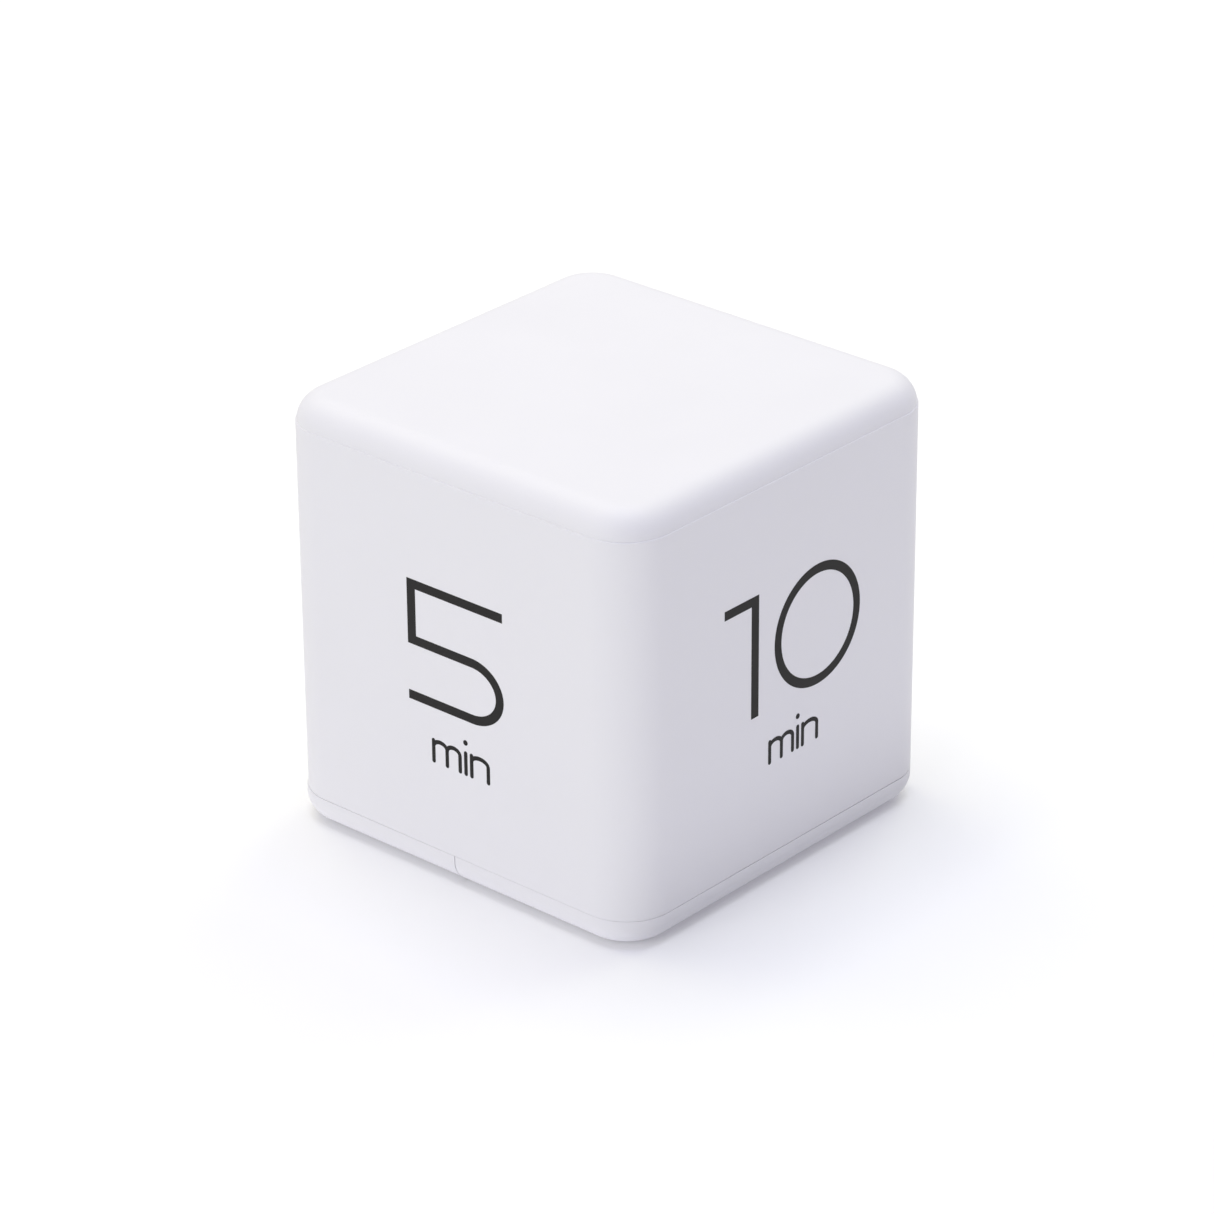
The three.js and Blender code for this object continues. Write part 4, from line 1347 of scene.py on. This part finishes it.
@dataclass
class Power:
    """Two AAA cells, their contacts and the two springs."""

    nub: float = 1.9
    nub_rise: float = 0.8
    band: float = 10.4
    wire: float = 0.25
    coil: Pair = (2.9, 2.2)
    turns: float = 3.5

    def build(self) -> None:
        """Make the cells, the contacts and the springs."""
        self.cell("aaa_cell_1", 1)
        self.cell("aaa_cell_2", -1)
        self.contact("contact_plate_neg")
        self.contact("contact_plate_pos", dimple=True)
        (x0, y0, z0), (x1, y1, z1) = box_of("bridge_plate")
        half = self.sheet() / 2
        step = middle("aaa_cell_1")[0] + 4.7
        line = [(x0, y0 + half), (step, y0 + half), (step, y1 - half), (x1, y1 - half)]
        stand_for(make_object("bridge_plate_strip", strip(line, self.sheet(), (z0, z1))),
                  "bridge_plate", "nickel_strip", NICKEL)
        self.spring("contact_spring_neg", "aaa_cell_1", -1)
        self.spring("bridge_spring", "aaa_cell_2", 1)

    def sheet(self) -> float:
        """The thickness of the contacts."""
        return float(np.ptp(box_of("contact_plate_pos")[:, 1]))

    def cell(self, node: str, sign: int) -> None:
        """A steel can in a printed sleeve that is rolled over both shoulders.

        Args:
            node: The node it replaces.
            sign: The direction along Y that its nub faces.
        """
        r, h, _ = np.ptp(box_of(node), axis=0) / 2
        top, nub = h - self.nub_rise, self.nub
        line = line_of(
            [(0, -h + 0.15), (3.5, -h + 0.15), (3.8, -h), (4.5, -h), (4.72, -h + 0.12),
             (4.72, -h + 0.3), (4.78, -h + 0.18), (4.95, -h + 0.18)],
            arc((r - 0.45, -h + 0.7), (0.45, 0.5), -80, 0, 6),
            [(r, -h + 1.2), (r, top - self.band), (r, top - 1.2)],
            arc((r - 0.45, top - 0.6), (0.45, 0.5), 0, 80, 6),
            [(4.6, top - 0.06), (4.5, top - 0.16), (4.3, top - 0.3), (2.9, top - 0.3),
             (2.75, top - 0.05), (nub + 0.3, top), (nub + 0.08, top + 0.06), (nub, top + 0.2)],
            arc((nub - 0.2, h - 0.2), (0.2, 0.2), 0, 90, 4), [(0, h)])
        place = middle(node)
        surface = revolved(line, 64).turned(-90 * sign, "X").moved(*place)
        stand_for(make_object(f"{node}_can", surface, 40), node, "cell_can", CELL_SLEEVE,
                  (CELL_BAND, lambda x, y, z: sign * y > top - self.band),
                  (NICKEL, lambda x, y, z: (np.hypot(x, z) < 4.55) | (sign * y < -h + 0.1)),
                  origin=place)

    def contact(self, node: str, dimple: bool = False) -> None:
        """A pressed sheet across a cell's end, with its solder tab.

        Args:
            node: The node it replaces.
            dimple: Whether a dimple meets the cell's nub.
        """
        (x, y, _), (low, high) = middle(node), box_of(node)
        half, deep, tab_half = (high[0] - low[0]) / 2, self.sheet() / 2, 1.2
        z = box_of("bridge_plate")[:, 2]
        flat = Outline.rounded((half, np.ptp(z) / 2), 0.8, steps=8, hold=0.05)
        edge = line_of([(0.05, deep), (0, deep - 0.05), (0, 0.05 - deep), (0.05, -deep)])
        solids = [block((x - tab_half, x + tab_half), (low[1], high[1]), (5.5, high[2])),
                  bead(0.9, 0.8, 12, 24).moved(x, y, high[2] - 0.8)]
        if dimple:
            cell = middle("aaa_cell_2")
            solids.append(bead(1.7, 0.16, 12, 32).turned(90, "X").moved(x, high[1], cell[2]))
        upright = flat.carried(edge).turned(90, "X").moved(x, y, z.mean())
        stand_for(carve(f"{node}_strip", upright, Join.ADD.each(*solids)), node, "nickel_strip",
                  NICKEL, (TIN, lambda x, y, z: z > 14.45))

    def spring(self, node: str, cell: str, sign: int) -> None:
        """A tapering coil, as it sits under load.

        The wire's middle is at angle 2 pi k u, radius and distance along Y both mixed from u = 0 at
        the contact to u = 1 at the cell, with the first and last turn closed up.

        Args:
            node: The node it replaces.
            cell: The cell that it presses on.
            sign: The direction along Y from the middle to it.
        """
        x, _, axis = middle(cell)
        u = np.linspace(0, 1, 181)
        angle = 2 * math.pi * self.turns * u
        radius = self.coil[0] + (self.coil[1] - self.coil[0]) * u
        start = box_of("bridge_plate")[1, 1] - self.sheet() - self.wire - 0.1
        end = box_of(cell)[1, 1] + self.wire + 0.1
        along = start + (end - start) * (u + 0.045 * np.sin(2 * math.pi * u))
        centres = np.stack([x + radius * np.cos(angle), sign * along,
                            axis + radius * np.sin(angle)], axis=1)
        piece = make_object(f"{node}_coil", round_tube(centres, self.wire, (0, 1, 0)), 60)
        stand_for(piece, node, "nickel_strip", NICKEL)


# ---- Screws --------------------------------------------------------------------------------


@dataclass
class Screw:
    """A round-headed thread-forming screw with a crossed recess, in its CAD node's box.

    It is drawn along +Z and turned over where its head is at the bottom. The thread's radius is
    core + depth x tri(z / pitch + turn), where tri rises and falls once a turn.
    """

    node: str
    shank: float
    rise: float
    pitch: float = 0.8
    head_down: bool = False
    columns: int = 28

    def build(self) -> None:
        """Make the screw and dress it."""
        low, high = box_of(self.node)
        s, h, rise, flat = self.shank, (high[0] - low[0]) / 2, self.rise, np.zeros((1, self.columns))
        tip, top = (-high[2], -low[2]) if self.head_down else (low[2], high[2])
        seat = top - rise
        z = np.linspace(tip + 0.05, seat - 0.2, int((seat - tip) / self.pitch * 9))[:, None]
        turn = np.linspace(0, 1, self.columns, endpoint=False)[None]
        wave = np.abs(2 * ((z / self.pitch + turn) % 1) - 1)
        ridge = np.clip(1.8 * wave - 0.6, 0, 1)
        thread = s * (0.76 + 0.24 * ridge) * np.clip((z - tip) / (1.6 * s), 0.05, 1)
        head = line_of([(s * 0.8, seat - 0.1), (s * 0.8, seat), (h - 0.08, seat), (h, seat + 0.08)],
                       arc((h * 0.62, seat + rise * 0.3), (h * 0.38, rise * 0.7), 0, 90, 8),
                       [(0, top)])
        radius = np.vstack([flat, thread, head[:, :1] + flat])
        height = np.vstack([flat + tip, z + flat, head[:, 1:] + flat])
        angle = 2 * math.pi * turn
        points = np.dstack([radius * np.cos(angle), radius * np.sin(angle), height])
        arm, slot, deep = h * 0.55, h * 0.13, (top - 0.55 * rise, top + 1)
        cross = [block((-x, x), (-y, y), deep) for x, y in ((arm, slot), (slot, arm))]
        made = carved(skin(points), Join.CUT.each(*cross)).turned(180 * self.head_down, "X")
        piece = make_object(f"{self.node}_thread", made.moved(*middle(self.node)[:2]))
        stand_for(piece, self.node, "steel_screw", ZINC)


SCREWS = (
    *(Screw(f"base_screw_{k}", 1.15, 1.4, 1.0, head_down=True) for k in (1, 2)),
    *(Screw(f"pcb_screw_{k}", 0.75, 1.1) for k in (1, 2, 3, 4)),
    *(Screw(f"switch_screw_{k}", 0.6, 0.95, 0.6) for k in (1, 2)),
)


# ---- Circuit board -------------------------------------------------------------------------


@dataclass
class Board:
    """The circuit board and the parts soldered to it, each drawn about its foot on the board."""

    corner: float = 2.0
    pin_reach: float = 7.0
    pin_aside: float = 1.27

    def build(self) -> None:
        """Make the board and its parts."""
        self.plate()
        self.blob()
        self.crystal()
        self.capacitor()
        self.transistor()
        self.inductor()
        self.resistor("resistor_1")
        self.resistor("resistor_2")
        self.ceramic()

    def part(self, node: str, form: str, slot: str, surface: Surface, finish: Finish,
             *patches: tuple[Finish, Test], steps: Steps = ()) -> None:
        """Make one board part from a surface about its foot.

        Args:
            node: The node it replaces.
            form: What its body is, for its name.
            slot: The record's material slot.
            surface: Its first solid.
            finish: Its finish.
            patches: Other finishes, with tests on x, y and z from its foot.
            steps: What is done with further solids.
        """
        if steps:
            surface = carved(surface, steps)
        foot = (*middle(node)[:2], box_of("controller_blob")[0, 2])
        piece = make_object(f"{node}_{form}", surface.moved(*foot))
        stand_for(piece, node, slot, finish, *patches, origin=foot)

    def blob(self) -> None:
        """The potting dome over the chip."""
        line = line_of([(0, 1.5)], arc((0, -1.6), (4.3, 3.1), 82, 31, 14),
                       [(4.0, 0.05), (4.2, 0), (0, 0)])
        self.part("controller_blob", "dome", "epoxy", revolved(line, 64), EPOXY)

    def crystal(self) -> None:
        """The crystal's oval can with its welded flange."""
        foot = Outline.rounded((5.3, 2.2), 2.19, steps=14, hold=0.02)
        line = line_of(arc((0.9, 3.0), (0.5, 0.5), 90, 180, 5), [(0.4, 0.75), (0.3, 0.55)],
                       [(0.08, 0.5), (0, 0.42), (0, 0.06), (0.06, 0)])
        self.part("crystal_can", "case", "crystal_metal", foot.carried(line), CRYSTAL_CAN)

    def capacitor(self) -> None:
        """The electrolytic capacitor: a sleeved can with a rolled neck and a scored end."""
        line = [(0, 7.0), (1.9, 7.0), (1.95, 7.1), (2.3, 7.1), (2.5, 6.9), (2.5, 1.6),
                (2.32, 1.3), (2.32, 1.1), (2.5, 0.85), (2.5, 0.1), (2.4, 0), (0, 0)]
        score = [block((-x, x), (-y, y), (6.9, 8)) for x, y in ((1.5, 0.08), (0.08, 1.5))]
        self.part("electrolytic_cap", "can", "cap_sleeve", revolved(line), CAP_SLEEVE,
                  (ALUMINIUM, lambda x, y, z: (z > 6.95) & (np.hypot(x, y) < 2.0)),
                  steps=Join.CUT.each(*score))

    def transistor(self) -> None:
        """The driver transistor: a round case with a flat front, on the middle of its own depth."""
        flat = arc((0, -0.55), (2.4, 2.4), -32.8, 212.8, 40)
        self.part("driver_transistor", "case", "black_plastic", extruded(flat, (0, 4.6)), NYLON)

    def inductor(self) -> None:
        """The boost inductor: a ferrite drum with nine turns of wire in its waist."""
        turns = 2.72 + 0.1 * np.abs(np.sin(np.linspace(0, 9 * math.pi, 73)))
        line = line_of([(0, 4.2), (3.1, 4.2), (3.3, 4.0), (3.3, 3.4), (3.1, 3.2)],
                       np.stack([turns, np.linspace(3.2, 1.0, 73)], axis=1),
                       [(3.1, 1.0), (3.3, 0.8), (3.3, 0.2), (3.1, 0), (0, 0)])
        self.part("boost_inductor", "drum", "ferrite", revolved(line, 64), FERRITE,
                  (COPPER, lambda x, y, z: (np.hypot(x, y) < 2.95) & (z > 1.0) & (z < 3.2)))

    def resistor(self, node: str) -> None:
        """A resistor chip: tinned ends, a white body and a dark glazed top.

        Args:
            node: The node it replaces.
        """
        body = block((-1.12, 1.12), (-0.795, 0.795), (0.02, 0.59))
        glaze = block((-1.1, 1.1), (-0.74, 0.74), (0.3, 0.63), 0.03)
        self.part(node, "chip", "black_plastic", block((-1.6, 1.6), (-0.8, 0.8), (0, 0.6), 0.06), TIN,
                  (ALUMINA, lambda x, y, z: np.abs(x) < 1.15),
                  (GLAZE, lambda x, y, z: (np.abs(x) < 1.11) & (z > 0.603)),
                  steps=Join.ADD.each(body, glaze))

    def ceramic(self) -> None:
        """The ceramic capacitor: a dipped disc on edge, on two leads."""
        line = line_of([(0, 0.7)], arc((1.7, 0), (0.5, 0.7), 90, -90, 12), [(0, -0.7)])
        leads = [round_tube(np.array([[0, y, -0.1], [0, y, 0.3], [0, y * 0.9, 0.8]]), 0.2, (1, 0, 0))
                 for y in (-1.3, 1.3)]
        self.part("ceramic_cap", "disc", "cap_dip", revolved(line).turned(90, "Y").moved(z=2.4),
                  CERAMIC_DIP, (TIN, lambda x, y, z: z < 0.35), steps=Join.ADD.each(*leads))

    def plate(self) -> None:
        """The board, drilled for its screws and pins, with tinned rings round the holes."""
        (_, _, low), (half_x, half_y, high) = box_of("main_pcb")
        outline = Outline.rounded((half_x, half_y), self.corner, steps=10, hold=0.1)
        edge = line_of([(0.1, high), (0, high - 0.05), (0, low + 0.05), (0.1, low)])
        holes = [(*middle(f"pcb_screw_{k}")[:2], 1.05, 2.1) for k in (1, 2, 3, 4)]
        for side in Side:
            t = math.radians(side.value - 90)
            holes += [(self.pin_reach * math.cos(t) - k * math.sin(t),
                       self.pin_reach * math.sin(t) + k * math.cos(t), 0.65, 1.0)
                      for k in (-self.pin_aside, self.pin_aside)]
        rings = [round_bar(x, y, ring, (low - 0.04, high + 0.04), 32) for x, y, _, ring in holes]
        drills = [round_bar(x, y, hole, (10, 30), 24) for x, y, hole, _ in holes]
        board = carve("main_board", outline.carried(edge),
                      Join.ADD.each(*rings) + Join.CUT.each(*drills))
        stand_for(board, "main_pcb", "board", MASK,
                  (GLASS_BOARD, lambda x, y, z: (z > low + 0.04) & (z < high - 0.04)),
                  (TIN, lambda x, y, z: (z > high + 0.01) | (z < low - 0.01)))


# ---- Tilt switches -------------------------------------------------------------------------


@dataclass
class TiltSwitch:
    """One ball tilt switch: a canted brass can, its header with two pins, and the ball."""

    side: Side
    end: Pair = (20.3, 24.1)
    cant: float = 15.0
    radius: float = 2.6
    bore: float = 2.2
    length: float = 11.5
    ball: float = 1.9
    ball_rest: float = 2.6
    pin_foot: float = 19.2

    def build(self) -> None:
        """Make the can, the header and the ball."""
        name = self.side.name.lower()
        r, b, n = self.radius, self.bore, self.length
        can = line_of([(0, 0), (r - 0.5, 0)], arc((r - 0.4, 0.4), (0.4, 0.4), -60, 0, 4),
                      [(r, n - 0.1), (r - 0.06, n), (b + 0.06, n), (b, n - 0.1), (b, 0.7),
                       (b - 0.3, 0.4), (0, 0.4)])
        piece = make_object(f"tilt_can_{name}_shell", self.placed(revolved(can, 40)))
        stand_for(piece, f"tilt_can_{name}", "brass", BRASS)
        sphere = bead(self.ball, self.ball, 32, 48).moved(z=self.ball_rest)
        piece = make_object(f"tilt_ball_{name}_sphere", self.placed(sphere))
        stand_for(piece, f"tilt_ball_{name}", "brass", GOLD_BALL, body=f"tilt_ball_{name}")
        self.header(name)

    def placed(self, surface: Surface) -> Surface:
        """Cant a part of the can and turn it to its side."""
        canted = surface.turned(self.cant - 90, "Y").moved(self.end[0], 0, self.end[1])
        return canted.turned(self.side.value - 90)

    def inside(self, along: float, sideways: float) -> Triple:
        """A point in the can, by its distance from the closed end and its offset sideways."""
        t = math.radians(self.cant)
        return (self.end[0] - along * math.cos(t), sideways, self.end[1] + along * math.sin(t))

    def header(self, name: str) -> None:
        """The insulating plug and flange, with two pins that bend down through the board.

        Args:
            name: The side's name.
        """
        plug = [(0, 9.0), (1.8, 9.0), (1.9, 9.1), (1.9, 11.8), (2.5, 11.8), (2.6, 11.9),
                (2.6, 12.3), (2.5, 12.4), (0, 12.4)]
        fillet = revolved([(0, 22.0), (0.32, 22.0), (0.5, 21.6), (0.95, 21.3), (0, 21.3)], 24)
        foot, reach, turn = self.pin_foot, Board.pin_reach, self.side.value - 90
        pins, joints = [], []
        for y in (-Board.pin_aside, Board.pin_aside):
            bend = self.inside(13.1, y)
            path = smooth_line([self.inside(8.4, y), self.inside(10.4, y), bend,
                                (reach, y, bend[2] - 1.2), (reach, y, (bend[2] + foot) / 2),
                                (reach, y, foot)])
            pins.append(round_tube(path, 0.3, (0, 1, 0), 16).turned(turn))
            joints.append(fillet.moved(reach, y).turned(turn))
        piece = carve(f"tilt_header_{name}_pins", self.placed(revolved(plug, 40)),
                      Join.ADD.each(*pins, *joints))
        t = math.radians(turn)
        stand_for(piece, f"tilt_header_{name}", "black_plastic", NYLON,
                  (TIN, lambda x, y, z: (x * math.cos(t) + y * math.sin(t) < 8.05)))


# ---- Sounder, slide switch and wires -------------------------------------------------------


class Underside:
    """The sounder's two discs and the slide switch."""

    def build(self) -> None:
        """Make the sounder and the switch."""
        self.sounder()
        self.switch()
        self.slider()

    def sounder(self) -> None:
        """The brass plate, and the ceramic disc with its electrode and a solder joint."""
        plate = [(0, 3.45), (9.92, 3.45), (10, 3.4), (10, 3.3), (9.92, 3.25), (0, 3.25)]
        stand_for(make_object("sounder_plate", standing("piezo_disc", plate, 96)), "piezo_disc",
                  "brass", BRASS)
        disc = [(0, 3.75), (6.3, 3.75), (6.32, 3.73), (6.95, 3.73), (7, 3.68), (7, 3.5), (0, 3.5)]
        solder = [(0, 4.0), (0.5, 3.95), (0.9, 3.76), (0.9, 3.6), (0, 3.6)]
        piece = carve("sounder_ceramic", standing("piezo_ceramic", disc, 96),
                      Join.ADD.each(standing("piezo_ceramic", solder, 24)))
        stand_for(piece, "piezo_ceramic", "piezo_white", PIEZO,
                  (SILVER, lambda x, y, z: (np.hypot(x, y) < 6.31) & (z > 3.7)),
                  (TIN, lambda x, y, z: z > 3.755), origin=(*middle("piezo_ceramic")[:2], 0.0))

    def around(self, node: str, x: float, y: float, z: Pair, edge: float = 0.0,
               right: float = 0.0) -> Surface:
        """A block of half sizes x and y about a node's middle, or so far to the right of it."""
        cx, cy, _ = middle(node)
        return block((cx + right - x, cx + right + x), (cy - y, cy + y), z, edge)

    def switch(self) -> None:
        """The folded steel frame, and the phenolic base with its three terminals."""
        node = "switch_frame"
        cx, cy, _ = middle(node)
        screws = [middle(f"switch_screw_{k}") for k in (1, 2)]
        steps = [
            *Join.ADD.each(self.around(node, 4.3, 2.2, (3.6, 7.2), 0.25)),
            *Join.CUT.each(self.around(node, 3.95, 1.85, (3.95, 9.0)),
                           self.around(node, 2.4, 1.2, (0.0, 5.0)),
                           *(round_bar(x, y, 0.9, (0, 9), 24) for x, y, _ in screws)),
        ]
        ears = self.around(node, 9.0, 2.75, (3.6, 3.95), 0.05)
        stand_for(carve("switch_frame_folded", ears, steps), node, "steel_screw", ZINC)
        terminals = []
        for k in (-2.5, 0, 2.5):
            terminals += [self.around(node, 0.6, 0.25, (6.6, 9.8), 0.08, right=k),
                          bead(0.62, 0.5, 10, 20).moved(cx + k, cy, 9.3)]
        piece = carve("switch_base_board", self.around(node, 3.8, 1.7, (6.2, 7.0), 0.05),
                      Join.ADD.each(*terminals))
        stand_for(piece, "switch_base", "phenolic", PHENOLIC, (TIN, lambda x, y, z: z > 7.01))

    def slider(self) -> None:
        """The knob, ribbed where a fingertip meets it, and its carrier in the frame."""
        node = "switch_slider"
        grooves = [self.around(node, 0.14, 2, (0.0, 0.85), right=k) for k in (-0.5, 0, 0.5)]
        piece = carve("switch_knob", self.around(node, 1.9, 1.5, (4.25, 5.9), 0.15), [
            *Join.ADD.each(self.around(node, 1, 0.9, (0.5, 4.75), 0.15)), *Join.CUT.each(*grooves)])
        stand_for(piece, node, "black_plastic", NYLON, body=node)


@dataclass
class Wire:
    """An insulated wire with a bare tinned end at each solder point."""

    node: str
    finish: Finish
    slot: str
    route: tuple[Triple, ...]
    radius: float = 0.5
    core: float = 0.24
    bare: float = 0.9

    def build(self) -> None:
        """Carry the insulation along the route, with the conductor and solder at both ends."""
        path, upright = smooth_line(self.route, 80), (0.3, 1, 0.1)
        gone = np.concatenate([[0], np.cumsum(np.linalg.norm(np.diff(path, axis=0), axis=1))])
        kept = (gone > self.bare) & (gone < gone[-1] - self.bare)
        solids = [round_tube(path, self.core, upright, 12)]
        solids += [bead(0.55, 0.45, 10, 20).moved(*path[k]) for k in (0, -1)]
        piece = carve(f"{self.node}_lead", round_tube(path[kept], self.radius, upright, 20),
                      Join.ADD.each(*solids))
        first, last = path[[0, -1], :, None]
        stand_for(piece, self.node, self.slot, self.finish, (TIN, lambda x, y, z: np.minimum(
            *(np.linalg.norm((x, y, z) - end, axis=0) for end in (first, last))) < self.bare - 0.05))


WIRES = (
    Wire("wire_pos_to_switch", PVC_RED, "wire_red", (
        (-6.8, -23.6, 15.2), (-4.6, -24.2, 17.0), (1.5, -24.2, 16.4), (6.2, -19.2, 13.6),
        (11.2, -14.2, 12.6), (11.5, -13, 10.4))),
    Wire("wire_switch_to_pcb", PVC_RED, "wire_red", (
        (14, -13, 10.4), (14, -12.6, 12.8), (12.6, -10.4, 16.2), (11.5, -9, 19.8))),
    Wire("wire_neg_to_pcb", PVC_BLACK, "wire_black", (
        (-18.2, -27.6, 15.0), (-18.2, -27.6, 17.8), (-17.4, -26.0, 22.6), (-16.4, -22.8, 24.0),
        (-15.6, -20.4, 22.9), (-15.4, -19.6, 21.5))),
    Wire("wire_buzzer_a", PVC_RED, "wire_red", (
        (13.5, 8, 4.0), (13.2, 7.2, 8.0), (9.4, 4.6, 14.0), (7.8, 4, 19.8))),
    Wire("wire_buzzer_b", PVC_BLACK, "wire_black", (
        (5.2, 8, 3.7), (5.0, 7.4, 8.0), (4.6, 5.0, 14.0), (4.5, 4, 19.8))),
)


def main() -> None:
    """Build the timer, one sub-assembly at a time, in the studio."""
    logging.basicConfig(level=logging.INFO, format="%(name)s: %(message)s")
    # A node that no finer piece replaced would show this plain plastic.
    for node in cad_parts.values():
        dress(node, SATIN_ABS)
    tilt_switches = (TiltSwitch(side) for side in Side)
    for part in (Studio(), Covers(), Print(), Power(), *SCREWS, Board(), *tilt_switches,
                 Underside(), *WIRES):
        part.build()


if __name__ == "__main__":
    main()
